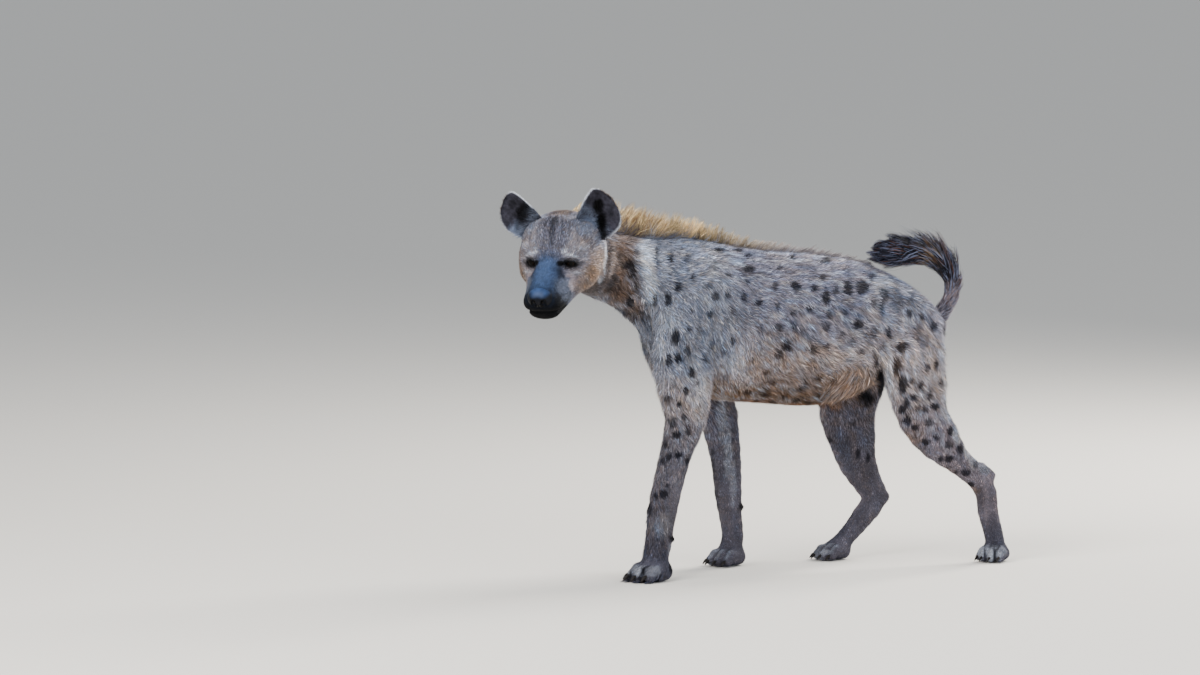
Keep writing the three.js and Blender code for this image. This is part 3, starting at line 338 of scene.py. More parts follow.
# Dark marks, partly painted shade
DARK_AND_SHADE_MARKS = [
    # Neck and throat, with painted shadow behind the cheek and under the throat
    (656.5, 255, 2, 14, 0.7), (627.5, 265, 8, 5, 0.95), (613, 249, 4, 3.5, 0.8), (614, 278, 4, 4, 0.8),
    (629.5, 300, 4, 6, 0.9), (609, 284, 5, 8, 1.0), (632, 273, 4, 6, 0.85), (620, 255, 5, 4, 0.7),
    (636, 286, 3, 6, 0.7), (617, 291, 4, 4, 0.7), (644, 318, 4, 6, 0.6), (638, 250, 3, 4, 0.5),
    (612, 308, 6, 3, 0.7), (622, 313, 7, 3, 0.7), (633, 319, 7, 3, 0.6),
    # Flank: painted shade in the fold before the thigh and between the foreleg and the body
    (876, 360, 3, 7, 0.8), (881, 383, 3, 16, 1.0), (868, 398, 9, 8, 1.0), (726, 353, 5, 4, 0.4),
    # Pads at the wrists
    (672.5, 538, 4, 3.5, 1.0), (742.5, 507, 4, 3.5, 1.0),
    # Feet and lower legs, with painted shade in the gaps between the toes
    (630.5, 575, 1.4, 4, 0.9), (643.5, 571, 1.8, 4, 0.9), (671, 567, 1.6, 5, 0.9), (984.8, 555, 1, 6, 0.9),
    (994.5, 553, 1.2, 7, 0.8), (710, 563, 3, 1.2, 0.6), (713, 465, 2, 16, 0.6), (717, 500, 2, 15, 0.4),
    (981, 500, 5, 12, 0.4), (993, 525, 4, 16, 0.3), (995, 545, 5, 4, 0.5),
]
WARM_MARKS = [
    # Nape
    (640, 226, 14, 8, 0.4),
    # Flank and belly
    (850, 385, 24, 18, 0.45), (836, 402, 10, 8, 0.6), (790, 365, 40, 20, 0.3),
    # Hind leg
    (915, 437, 9, 6, 0.45), (945, 472, 10, 5, 0.4), (970, 492, 8, 6, 0.45),
]
BELLY_EDGE = [(758, 402, 24, 3.2, 0.7), (806, 406, 30, 3.2, 0.7)]
# Painted shadow of the cheek on the neck behind it
CHEEK_SHADOW_MARKS = [
    (618, 262, 16, 24, 1.0), (620, 290, 16, 14, 0.95), (626, 240, 14, 9, 0.8), (634, 308, 12, 10, 0.7),
]
MARK_EDGE = (1.5, 0.55)  # where a soft mark ends and where it is full, in its own half sizes
SPOT_EDGE = (1.3, 0.7)  # the same for a spot
# The spots that the picture doesn't show: how many places are tried, and how far apart they are
SPOT_TRIES = 6000
SPOT_APART = {"body": 44, "leg": 32, "neck": 60}

# Marks on the half of the face that turns to the camera, which the other half repeats
FACE_DARK = [
    (570.5, 264, 9.5, 4.8, 1.0), (560.5, 263.5, 4.4, 3.2, 1.0), (581, 263, 4, 2, 0.6),
    (566, 259, 6, 1.4, 0.6), (560, 271, 2.5, 5, 0.4), (556, 219, 2.5, 7, 0.65), (553, 229, 2.2, 7, 0.6),
    (551, 240, 2, 6, 0.5), (562, 222, 1.2, 9, 0.45), (569, 228, 1.2, 8, 0.35), (566, 212, 6, 3, 0.4),
    (577, 236, 1.3, 7, 0.3),
]
FACE_PALE = [
    (563.5, 252, 2.4, 2, 0.5), (569, 254.5, 4.5, 1.2, 0.6), (575.5, 256.5, 3, 1.2, 0.55),
    (566, 249, 3, 1.4, 0.3), (606, 252, 1.3, 10, 0.85), (604.5, 268, 1.3, 8, 0.85),
    (600, 280, 2.5, 3.5, 0.6), (583, 246, 5, 4, 0.25), (577, 273, 5, 1.5, 0.3),
]
FACE_PINK = [(573, 284, 4, 6, 0.7), (580, 279, 4, 4, 0.4), (571, 276, 5, 2, 0.4)]
FACE_OCHRE = [
    (594, 274, 7, 9, 0.6), (586, 286, 6, 5, 0.45), (596, 256, 7, 9, 0.4), (562, 209, 16, 6, 0.45),
    (583, 241, 7, 5, 0.3),
]
FACE_GREY = [
    (588, 224, 12, 11, 0.7), (600, 238, 6, 8, 0.4), (571, 298, 7, 6, 0.25), (564, 286, 8, 8, 0.26),
]

# Marks on the open fronts of the ears
# Painted shade in the hollows of the ears' fronts
EAR_SHADE_MARKS = [
    (597, 206, 5.5, 10, 1.0), (600, 222, 5.5, 12, 1.0), (602, 236, 4, 8, 0.95), (525, 213, 8, 11, 0.95),
    (519, 224, 4, 6, 0.6), (588, 200, 4, 7, 0.5), (610, 212, 4, 6, 0.4), (513, 204, 4, 5, 0.5),
]
EAR_BLUE = [(586, 225, 9, 7, 0.75), (517, 232, 8, 9, 0.65), (591, 236, 5, 5, 0.5)]

# The edge of the cheek over the neck, in the picture
CHEEK_EDGE = [(607, 240), (607.5, 258), (606, 272), (601, 283), (593, 293), (585, 301)]
# Skin folds of the flanks, as seen from the side: x, z
FLANK_FOLDS = [
    (9, 8, [(96, 560), (127, 488), (152, 453), (160, 402)]),  # width, depth, path
    (18, 6, [(-150, 660), (-186, 590), (-220, 520), (-240, 450), (-262, 402)]),
    (15, 3.5, [(-395, 640), (-330, 560), (-318, 500)]),
    (16, 3.5, [(300, 560), (286, 480), (276, 400)]),
    (34, 5, [(70, 610), (104, 560)]),
]


# Helpers for vectors, noise, curves and places in the picture

def unit(v):
    v = np.asarray(v, float)
    return v / np.maximum(np.linalg.norm(v, axis=-1, keepdims=True), 1e-9)


def lengths(v):
    return np.linalg.norm(v, axis=1)


def mix(a, b, t):
    return a + (b - a) * t


def lay(a, b, share):
    """Mixes colours or ways, with a share for each point."""
    return mix(a, b, share[:, None])


def step(low, high, x):
    """A smooth step from 0 at low to 1 at high."""
    t = np.clip((x - low) / (high - low), 0, 1)
    return t * t * (3 - 2 * t)


def noise(p, size, seed=0):
    """Smooth value noise from 0 to 1 over points p, with features of that size."""
    q = p / size + 31.7 * seed
    cell = np.floor(q).astype(np.int64)
    t = q - cell
    t = t * t * (3 - 2 * t)
    total = np.zeros(len(p))
    for corner in range(8):
        o = np.array([corner & 1, corner >> 1 & 1, corner >> 2 & 1])
        c = cell + o
        h = (c[:, 0] * 73856093) ^ (c[:, 1] * 19349663) ^ (c[:, 2] * 83492791) ^ (seed * 2654435)
        h = (h ^ (h >> 13)) * 1274126177 & 0x7FFFFFFF
        h = (h ^ (h >> 11)) & 0xFFFF
        w = np.prod(np.where(o == 1, t, 1 - t), axis=1)
        total += w * h / 65535.0
    return total


def curve_point(points, t, tension=None):
    """A point on a Catmull-Rom curve through points: centripetal, or uniform with a tension."""
    points = np.asarray(points, float)
    last = len(points) - 1
    i = min(int(t * last), last - 1)
    s = t * last - i
    p1, p2 = points[i], points[i + 1]
    p0 = points[i - 1] if i > 0 else 2 * p1 - p2
    p3 = points[i + 2] if i + 2 <= last else 2 * p2 - p1
    if tension is not None:
        m1, m2 = tension * (p2 - p0), tension * (p3 - p1)
    else:
        d0, d1, d2 = (max(np.linalg.norm(b - a), 1e-6) ** 0.5 for a, b in ((p0, p1), (p1, p2), (p2, p3)))
        m1 = ((p1 - p0) / d0 - (p2 - p0) / (d0 + d1) + (p2 - p1) / d1) * d1
        m2 = ((p2 - p1) / d1 - (p3 - p1) / (d1 + d2) + (p3 - p2) / d2) * d1
    return p1 + m1 * s + (3 * (p2 - p1) - 2 * m1 - m2) * s**2 + (2 * (p1 - p2) + m1 + m2) * s**3


def curve_points(points, places, tension=None):
    return np.array([curve_point(points, t, tension) for t in places])


def in_picture(p):
    """Where points of the animal fall in the picture, in its pixels."""
    q = p / 1000 - VIEW_AIM
    scale = PIXELS_PER_METRE * CAMERA_AWAY / (CAMERA_AWAY - q @ VIEW_BACK)
    return PICTURE[0] / 2 + scale * (q @ VIEW_RIGHT), PICTURE[1] / 2 - scale * (q @ VIEW_UP)


def in_paw(name, p):
    """Forward and sideways places on a paw, at its usual size."""
    x, y, turn, scale = PAWS[name]
    a = math.radians(180 + turn)
    q = (p[:, :2] - [x, y]) / scale
    return q @ [math.cos(a), math.sin(a)], q @ [-math.sin(a), math.cos(a)]


def drawn(x, y, warp, marks, edge=MARK_EDGE):
    """How strongly soft oval marks cover each place of the picture."""
    cover = np.zeros(len(x))
    for across, down, wide, high, strength in marks:
        near = (np.abs(x - across) < 2 * wide) & (np.abs(y - down) < 2 * high)
        e = np.hypot((x[near] - across) / wide, (y[near] - down) / high) + warp[near]
        cover[near] = np.maximum(cover[near], strength * step(*edge, e))
    return cover


def from_path(x, y, path):
    """Distance of flat places from a path through corners."""
    place = np.stack([x, y], axis=1)
    path = np.array(path, float)
    least = np.full(len(x), FAR)
    for a, b in zip(path, path[1:]):
        t = np.clip((place - a) @ (b - a) / ((b - a) @ (b - a)), 0, 1)
        least = np.minimum(least, lengths(place - a - t[:, None] * (b - a)))
    return least


# The field of flesh: below zero inside the animal

class Mass:
    """A tapered capsule from a to b whose section is an ellipse."""

    def __init__(self, a, b, size_a, size_b, side, blend):
        self.a = np.array(a, float)
        self.b = np.array(b, float)
        self.size_a = np.array(size_a, float)
        self.size_b = np.array(size_b, float)
        self.blend = max(blend, 1e-6)
        self.run = self.b - self.a
        self.axis = unit(self.run)
        side = np.asarray(side, float)
        self.side = unit(side - self.axis * (side @ self.axis))
        self.up = np.cross(self.axis, self.side)
        self.centre = (self.a + self.b) / 2
        self.reach = np.linalg.norm(self.run) / 2 + max(*size_a, *size_b)

    def distance(self, p):
        q = p - self.a
        t = np.clip(q @ self.run / (self.run @ self.run), 0, 1)
        q = q - t[:, None] * self.run
        w = mix(self.size_a[0], self.size_b[0], t)
        h = mix(self.size_a[1], self.size_b[1], t)
        k = np.sqrt((q @ self.side / w) ** 2 + (q @ self.up / h) ** 2 + (q @ self.axis / h) ** 2)
        k = np.maximum(k, 1e-6)
        return lengths(q) * (1 - 1 / k)


def smooth_min(a, b, k):
    h = np.maximum(k - np.abs(a - b), 0) / k
    return np.minimum(a, b) - h * h * k / 4


def limb(stations, blend):
    """A chain of masses through stations: place, half width and half height or depth."""
    path = [s[:3] for s in stations]
    size = [s[3:] for s in stations]
    steps = 2 * (len(stations) - 1)
    masses = []
    for i in range(steps):
        t, u = i / steps, (i + 1) / steps
        masses.append(Mass(
            curve_point(path, t), curve_point(path, u),
            curve_point(size, t, 0.4), curve_point(size, u, 0.4), (0, 1, 0), 3,
        ))
    return {"masses": masses, "blend": blend}


def body_distance(masses, p):
    f = np.full(len(p), FAR)
    for m in masses:
        near = lengths(p - m.centre) - m.reach < f + m.blend
        if near.any():
            f[near] = smooth_min(f[near], m.distance(p[near]), m.blend)
    return f


def trunk_value(column, x):
    """One column of the trunk's stations, as a smooth curve along x."""
    xs, v = TRUNK[:, 0], TRUNK[:, column]
    last = len(xs) - 1
    i = np.clip(np.searchsorted(xs, x) - 1, 0, last - 1)
    a, b = v[i], v[i + 1]
    slope_a = (b - v[np.maximum(i - 1, 0)]) / 2
    slope_b = (v[np.minimum(i + 2, last)] - a) / 2
    t = (x - xs[i]) / (xs[i + 1] - xs[i])
    square = 3 * (b - a) - 2 * slope_a - slope_b
    cube = 2 * (a - b) + slope_a + slope_b
    return a + slope_a * t + square * t**2 + cube * t**3


def trunk_distance(p):
    squareness = 2.15
    x = np.clip(p[:, 0], TRUNK[0, 0], TRUNK[-1, 0])
    top, bottom, width = (trunk_value(c, x) for c in (1, 2, 3))
    centre = (top + bottom) / 2
    high = (p[:, 2] - centre) / ((top - bottom) / 2)
    across = p[:, 1] / (width * (1 - 0.1 * np.clip(high, -1, 1)))
    k = (np.abs(high) ** squareness + np.abs(across) ** squareness) ** (1 / squareness)
    radial = np.hypot(p[:, 1], p[:, 2] - centre) * (1 - 1 / np.maximum(k, 1e-6))
    return np.hypot(np.maximum(radial, 0), p[:, 0] - x) + np.minimum(radial, 0)


# The head's frame, which is left-handed
HEAD_FORWARD = np.array([
    -math.cos(HEAD_YAW) * math.cos(HEAD_PITCH),
    -math.sin(HEAD_YAW) * math.cos(HEAD_PITCH),
    -math.sin(HEAD_PITCH),
])
HEAD_SIDE = np.array([-math.sin(HEAD_YAW), math.cos(HEAD_YAW), 0.0])
HEAD_UP = np.cross(HEAD_SIDE, HEAD_FORWARD)
HEAD_AXES = np.array([HEAD_FORWARD, HEAD_SIDE, HEAD_UP])


def on_head(place):
    """From the head's frame (forward, side, up) to the animal's."""
    return EYE_MIDPOINT + np.asarray(place, float) @ HEAD_AXES


def in_head(p):
    return (p - EYE_MIDPOINT) @ HEAD_AXES.T


def head_mass(a, b, size_a, size_b, blend):
    """A mass in the head's frame, and its mirror image when it isn't in the middle."""
    sides = (1,) if a[1] == 0 else SIDES.values()
    return [Mass(
        on_head((a[0], s * a[1], a[2])), on_head((b[0], s * b[1], b[2])), size_a, size_b, HEAD_SIDE, blend,
    ) for s in sides]


HEAD_MASSES = [
    *head_mass((-116, 0, 16), (-76, 0, 27), (72, 52), (66, 49), 26),  # braincase
    *head_mass((-62, 0, 25), (0, 0, -3), (54, 40), (36, 24), 22),  # forehead
    *head_mass((0, 0, -7), (98, 0, -38), (38, 25), (28, 19), 16),  # bridge
    *head_mass((-20, 0, -50), (86, 0, -58), (60, 38), (39, 27), 20),  # muzzle
    *head_mass((34, 31, -60), (92, 18, -56), (20, 21), (19, 17), 12),  # whisker pads
    *head_mass((98, 10, -38), (106, 10, -41), (17, 16), (15, 15), 7),  # nose
    *head_mass((-70, 0, -72), (84, 0, -84), (68, 31), (34, 16), 14),  # lower jaw
    *head_mass((-104, 53, -12), (-58, 54, -42), (45, 60), (40, 46), 22),  # cheeks
    *head_mass((-54, 58, -8), (14, 31, -32), (26, 26), (22, 20), 26),  # cheekbones
    *head_mass((-46, 46, 20), (-10, 37, 14), (24, 19), (15, 11), 24),  # brows
]


def gaze(side):
    return HEAD_FORWARD * math.cos(EYE_TURN) + HEAD_SIDE * side * math.sin(EYE_TURN)


def eye_centre(side):
    return on_head((EYE_PLACE[0], side * EYE_PLACE[1], EYE_PLACE[2]))


def eye_frame(side):
    """An eyeball's middle, the way it looks, and the way across it towards the nose."""
    out = gaze(side)
    return eye_centre(side), out, unit(np.cross(HEAD_UP, out)) * side


def head_distance(p):
    """Distance to the head, with the line of the lips and the eyes in their hollows."""
    f = body_distance(HEAD_MASSES, p)
    q = in_head(p)
    mouth = np.array(MOUTH[::-1], float)
    up = np.interp(q[:, 0], mouth[:, 0], mouth[:, 1])
    fade = np.clip((q[:, 0] + 12) / 14, 0, 1)
    f = f + LIP_GROOVE * fade * np.exp(-(((q[:, 2] - up) / 4) ** 2))
    away, radius, blend = EYE_HOLLOW
    for side in SIDES.values():
        centre = eye_centre(side)
        hollow = lengths(p - centre - gaze(side) * away) - radius
        f = -smooth_min(-f, hollow, blend)
        f = smooth_min(f, lengths(p - centre) - EYE_RADIUS - LID, 7)
    return f


def handed(stations, side):
    return [(s[0], side * s[1], *s[2:]) for s in stations]


def on_paw(name, place):
    x, y, turn, scale = PAWS[name]
    a = math.radians(180 + turn)
    f, s, u = (scale * v for v in place)
    return np.array([x + f * math.cos(a) - s * math.sin(a), y + f * math.sin(a) + s * math.cos(a), u])


def paw_masses(name):
    scale = PAWS[name][3]
    masses = [Mass(
        on_paw(name, (-20, 0, 20)), on_paw(name, (10, 0, 21)),
        (27 * scale, 21 * scale), (33 * scale, 22 * scale), (0, 1, 0), 8,
    )]
    for side, reach, size in TOES.values():
        w = 13.6 * size * scale
        knuckle = on_paw(name, (reach - 24, side, 26))
        tip = on_paw(name, (reach - 11, side * 1.03, 14))
        masses.append(Mass(on_paw(name, (4, side * 0.72, 24)), knuckle, (w, w), (w, w), (0, 1, 0), 3))
        masses.append(Mass(knuckle, tip, (w, w), (w * 0.92, w * 0.98), (0, 1, 0), 2))
    return masses


TORSO = {"blend": 34, "masses": [
    Mass((-346, 0, 594), (-284, 0, 494), (64, 56), (74, 62), (0, 1, 0), 20),
    Mass((236, 0, 585), (300, 0, 545), (92, 54), (72, 44), (0, 1, 0), 20),
]}
NECK_LIMB = limb(NECK, 40)
TAIL_LIMB = limb(TAIL, 10)
LEGS = {}
EXTRAS = []
for name, side in SIDES.items():
    LEGS[f"foreleg_{name}"] = limb(handed(FORELEG[name], side), 30)
    LEGS[f"hindleg_{name}"] = limb(handed(HINDLEG[name], side), 34)
    x, z = HOCK[name]
    EXTRAS.append({"blend": 16, "masses": [
        Mass((x - 26, side * 100, z + 22), (x, side * 100, z), (9, 9), (11, 11), (0, 1, 0), 1)]})
    x, z = WRIST_PAD[name]
    EXTRAS.append({"blend": 8, "masses": [
        Mass((x - 6, side * 100, z + 5), (x, side * 100, z), (8, 8), (8, 8), (0, 1, 0), 1)]})
PAW_LIMBS = {name: {"blend": 22, "masses": paw_masses(name)} for name in PAWS}
ALL_LIMBS = [TORSO, NECK_LIMB, *LEGS.values(), *EXTRAS, *PAW_LIMBS.values(), TAIL_LIMB]


def flesh(p):
    """Distance to the tips of the short coat, as the solids have it, with toes and tail."""
    f = trunk_distance(p)
    for body in ALL_LIMBS:
        low = np.min([np.minimum(m.a, m.b) for m in body["masses"]], axis=0) - LIMB_REACH
        high = np.max([np.maximum(m.a, m.b) for m in body["masses"]], axis=0) + LIMB_REACH
        near = ((p > low) & (p < high)).all(axis=1)
        if near.any():
            f[near] = smooth_min(f[near], body_distance(body["masses"], p[near]), body["blend"])
    near = lengths(p - EYE_MIDPOINT) < HEAD_REACH
    if near.any():
        f[near] = smooth_min(f[near], head_distance(p[near]), 26)
    return -smooth_min(-f, p[:, 2] - 0.4, 3)  # flat soles just above the floor


def lid_cut(p):
    """Below zero in the almond between the lids, in front of each eyeball's middle."""
    g = np.full(len(p), FAR)
    for side in SIDES.values():
        centre, out, across = eye_frame(side)
        q = p - centre
        x, y, along = q @ across, q @ HEAD_UP, q @ out
        half = EYE_OPENING[0] / 2
        shape = EYE_OPENING[1] / 2 * np.maximum(1 - (x / half) ** 2, 0) ** 0.65
        d = np.maximum(np.abs(y - EYE_SLANT * x) - shape, np.abs(x) - half)
        g = np.minimum(g, np.maximum(d, 5 - along))
    return g


def gradient(field, p, h=0.5):
    """The slope of a field, from four places round each point."""
    corners = np.array([(1, 1, 1), (1, -1, -1), (-1, 1, -1), (-1, -1, 1)], float)
    total = np.zeros_like(p)
    for c in corners:
        total += c * field(p + c * h)[:, None]
    return total / (4 * h)


def settle(field, p, rounds, longest, h=0.5, flattest=0.2):
    """Moves points onto the field's zero surface."""
    for _ in range(rounds):
        g = gradient(field, p, h)
        size = np.maximum((g * g).sum(axis=1), flattest)
        move = -g * (field(p) / size)[:, None]
        length = np.linalg.norm(move, axis=1, keepdims=True)
        p = p + move * np.minimum(1, longest / np.maximum(length, 1e-9))
    return p


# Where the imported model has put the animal

def middle(node):
    low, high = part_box(node)
    return (np.array(low) + np.array(high)) / 2


SHIFT = middle("eye_left") * 1000 - eye_centre(SIDES["left"])


def to_frame(p):
    return (p + SHIFT) / 1000


def from_frame(p):
    return p * 1000 - SHIFT


# How deep the coat is, and which way it lies

def head_share(p):
    """1 on the head, falling to 0 along the neck."""
    q = in_head(p)
    return step(-210, -120, q[:, 0]) * step(330, 250, lengths(p - EYE_MIDPOINT))


def muzzle_share(p):
    return head_share(p) * step(-20, 50, in_head(p)[:, 0])


def tail_share(p):
    rising = step(345, 372, p[:, 0]) * step(520, 560, p[:, 2])
    over_rump = step(200, 230, p[:, 0]) * step(686, 700, p[:, 2]) * step(760, 740, p[:, 2])
    return rising + over_rump


def coat_depth(p):
    depth = COAT_DEPTH["foot"] + COAT_DEPTH["more_on_leg"] * step(30, 200, p[:, 2])
    depth = depth + COAT_DEPTH["more_on_trunk"] * step(300, 430, p[:, 2])
    depth = mix(depth, COAT_DEPTH["head"], head_share(p))
    depth = mix(depth, COAT_DEPTH["muzzle"], muzzle_share(p))
    return mix(depth, COAT_DEPTH["tail"], np.clip(tail_share(p), 0, 1) * (np.abs(p[:, 1]) < 60))


def nose_share(p):
    q = (in_head(p) - np.array([112, 0, -37])) / np.array([21, 31, 21])
    return step(1.1, 0.8, lengths(q))


def face_view(p):
    """The picture's places of points of the head, both halves laid on the one turned to the camera."""
    q = in_head(p)
    q[:, 1] = -np.abs(q[:, 1])
    return in_picture(on_head(q))


def face_relief(p):
    """What is carved away behind the cheek, off the whisker pads and in the folds round the eyes."""
    edge = from_path(*face_view(p), CHEEK_EDGE)
    f, s, u = in_head(p).T
    deep = 6.5 * np.exp(-((edge / 2.0) ** 2)) * step(40, 52, np.abs(s))
    deep -= 4.0 * np.exp(-(((f - 78) / 28) ** 2) - ((u + 62) / 20) ** 2) * step(20, 32, np.abs(s))
    for side in SIDES.values():
        centre, out, across = eye_frame(side)
        q = p - centre
        up, along = q @ HEAD_UP, q @ out
        ring = np.hypot(q @ across / 1.35, up)
        front = step(-2, 6, along) * step(60, 40, lengths(q))
        for depth, away, width, low, high in EYE_FOLDS:
            deep += front * depth * np.exp(-(((ring - away) / width) ** 2)) * step(low, high, up)
    return deep


def relief(p):
    """Folds of the skin: how much is carved away at p, in millimetres."""
    carved = np.zeros(len(p))
    near = lengths(p - EYE_MIDPOINT) < FACE_REACH
    if near.any():
        carved[near] = face_relief(p[near])
    low = (p[:, 0] > -420) & (p[:, 0] < 340) & (p[:, 2] > 360) & (np.abs(p[:, 1]) > 50)
    if low.any():
        q = p[low]
        for width, depth, path in FLANK_FOLDS:
            away = from_path(q[:, 0], q[:, 2], path)
            carved[low] += depth * np.exp(-((away / width) ** 2)) * step(50, 80, np.abs(q[:, 1]))
    return carved


def skin_field(p):
    return flesh(p) + coat_depth(p) + relief(p) + 3.0 * nose_share(p)


TAIL_PATH = curve_points([s[:3] for s in TAIL], np.linspace(0, 1, TAIL_STEPS))
TAIL_RUN = unit(np.gradient(TAIL_PATH, axis=0))


def nearest(path, p):
    """The number of the path's point that is nearest to each of p, and how far it is."""
    best = np.zeros(len(p), int)
    least = np.full(len(p), 1e12)
    for i, c in enumerate(path):
        d = ((p - c) ** 2).sum(axis=1)
        closer = d < least
        best[closer] = i
        least[closer] = d[closer]
    return best, np.sqrt(least)


def fold_share(p):
    """1 where long hair hangs from the fold between flank and thigh."""
    away = ((p[:, 0] - 70) / 62) ** 2 + ((p[:, 2] - 428) / 40) ** 2
    return step(1.6, 0.5, away) * (np.abs(p[:, 1]) > 45)


def lie(p, n):
    """The way the hair lies at p, along the surface."""
    x, y, z = p.T
    d = lay(np.array([1.0, 0, -0.9]), np.array([1.0, 0, -0.35]), step(600, 690, z))
    swirl = np.exp(-((x + 170) / 80) ** 2 - ((z - 490) / 55) ** 2)
    for way, share in (
        ((0.4, 0, -1.0), step(-150, -270, x) * step(690, 640, z)),  # shoulder
        ((0.6, 0, -1.0), swirl),  # behind the elbow
        ((0.5, 0, -1.0), step(170, 250, x) * step(640, 580, z)),  # thigh
        ((-0.62, 0, -0.8), fold_share(p)),  # fold of the flank
        ((0.8, 0.28, -0.75), step(-380, -480, x)),  # neck
        ((0.22, 0, -1.0), step(430, 300, z) * (np.abs(y) > 40)),  # legs
        ((-0.9, 0, -0.6), step(75, 35, z)),  # feet
    ):
        d = lay(d, np.array(way), share)
    up = in_head(p)[:, 2]
    back = np.stack([-np.ones(len(p)), np.zeros(len(p)), -0.25 + 0.01 * np.clip(up, -40, 40)], axis=1)
    d = lay(d, back @ HEAD_AXES, head_share(p))
    tail, far = nearest(TAIL_PATH, p)
    d = lay(d, TAIL_RUN[tail], step(45, 28, far) * (tail > 3))
    return unit(d - n * (d * n).sum(axis=1, keepdims=True))


# Markings, shared by the skin and the coat

def rgb(code):
    """A colour in linear light from its hex code."""
    c = np.array([int(code[i:i + 2], 16) for i in (1, 3, 5)]) / 255
    return np.where(c < 0.04045, c / 12.92, ((c + 0.055) / 1.055) ** 2.4)


BACK = rgb("#7d7c8c")
FLANK = rgb("#b0a5a6")
SHOULDER = rgb("#858999")
LOW_FLANK = rgb("#928789")
BELLY = rgb("#6b574a")
NECK_COAT = rgb("#868793")
SHANK = rgb("#6a6670")
HIND_SHANK = rgb("#7c7580")
INNER_LEG = rgb("#5e5b66")
FOOT = rgb("#5b5a68")
SPOT = rgb("#181822")
WARM_SPOT = rgb("#2c211d")
PALE = rgb("#cdd4e2")
WARM = rgb("#8d7360")
# Dark brown of the painted shadow behind the cheek
CHEEK_SHADOW_BROWN = rgb("#655145")
BELLY_RIM = rgb("#6c4a35")
# Blue-grey, the blue partly a painted reflection of the sky
FOREHEAD = rgb("#6a6b7c")
FOREHEAD_STREAK = rgb("#413b3c")
MUZZLE = rgb("#08090c")
# Painted reflection of the sky on the dark fur of the muzzle's bridge
BRIDGE_SKY_REFLECTION = rgb("#405478")
MUZZLE_TOP = rgb("#282c38")
TEMPLE = rgb("#86828a")
EAR_FOOT = rgb("#868ea2")
CHEEK = rgb("#8f8380")
OCHRE = rgb("#866a50")
PINK = rgb("#a3928f")
NOSE = rgb("#060607")
NOSE_FRONT = rgb("#0a0c12")
NOSE_SHEEN = rgb("#344a72")
THROAT = rgb("#4c4546")
TAIL_ROOT = rgb("#6a646d")
TAIL_TIP = rgb("#131116")
EAR_BACK = rgb("#5e534d")
EAR_FRONT = rgb("#33323b")
EAR_SHEEN = rgb("#74819c")
# Near black of the painted shade in the ears' hollows
EAR_HOLLOW_SHADE = rgb("#030304")
EAR_RIM = rgb("#ccd2de")
EAR_TUFT = rgb("#7f8aa0")
EAR_RIM_TUFT = rgb("#e2e6ee")
CREST_BLOND = rgb("#cdb68d")
CREST_GREY = rgb("#938b8c")
CREST_GINGER = rgb("#8d6a44")
CREST_TIP = rgb("#4d423c")
BRUSH_ROOT = rgb("#6e6469")
BRUSH_DARK = rgb("#1b1b23")
BRUSH_BROWN = rgb("#5e3f30")
# Grey hairs of the brush, their blue a painted sheen
BRUSH_GREY_SHEEN = rgb("#6a7088")
BRUSH_BEND = rgb("#7c6850")
HORN_ROOT = rgb("#0e0c0c")
HORN_TIP = rgb("#1f1b1a")
# The eye's colours, by place from the middle of the pupil to the back
EYE_STOPS = [
    (0.0, "#030303"), (0.15, "#030303"), (0.18, "#140b06"),
    (0.3, "#0c0704"), (0.35, "#040303"), (1, "#080606"),
]


def plain(colour, p):
    """One colour for all the points."""
    return np.array(colour) * np.ones((len(p), 1))


def spot_centres(points, normals):
    """Seeded centres of the spots that the picture doesn't show, kept apart."""
    pick = np.random.default_rng(SEED + 1)
    away = normals @ VIEW_BACK < 0.1
    points = points[away & (points[:, 2] > 90) & (lengths(points - EYE_MIDPOINT) > 190)]
    centres = []
    for p in points[pick.permutation(len(points))[:SPOT_TRIES]]:
        apart = SPOT_APART["body"] if p[2] > 360 else SPOT_APART["leg"]
        if p[0] < -430:
            apart = SPOT_APART["neck"]
        if all(np.linalg.norm(p - c[0]) > apart for c in centres):
            size = pick.uniform(7, 13) * (1 if p[2] > 330 else 0.75)
            centres.append((p, size, pick.uniform(1.1, 1.8), pick.choice((0.95, 0.8, 0.55))))
    return centres


SPOTS_UNSEEN = []  # filled when the skin is built


def unseen_spots(p, flow, warp):
    mask = np.zeros(len(p))
    for centre, radius, long, dark in SPOTS_UNSEEN:
        q = p - centre
        near = (q * q).sum(axis=1) < (2 * radius * long) ** 2
        q = q[near]
        a = (q * flow[near]).sum(axis=1)
        b2 = (q * q).sum(axis=1) - a * a
        e = np.sqrt((a / (radius * long)) ** 2 + b2 / radius**2) + warp[near]
        mask[near] = np.maximum(mask[near], dark * step(*SPOT_EDGE, e))
    return mask


def along_hair(p, flow, share=0.75):
    """Points drawn together along the hair, so that noise over them makes streaks."""
    return p - share * (p * flow).sum(axis=1)[:, None] * flow


def toe_marks(p, c):
    """Painted shade in the gaps between the toes, and paler hair on top of them."""
    low = p[:, 2] < 40
    q = p[low]
    gap, top = np.zeros(len(q)), np.zeros(len(q))
    for name in PAWS:
        forward, across = in_paw(name, q)
        here = step(4, 18, forward) * (np.abs(across) < 48) * (forward < 80)
        for middle_gap in TOE_GAPS:
            gap = np.maximum(gap, here * np.exp(-((across - middle_gap) / 2.6) ** 2))
        top = np.maximum(top, here * step(12, 24, q[:, 2]))
    # Painted shade in the gaps between the toes
    c[low] = lay(lay(c[low], PALE, 0.25 * top), SPOT, 0.85 * gap)
    return c


def trunk_share(p):
    return step(50, 20, np.abs(trunk_distance(p)))


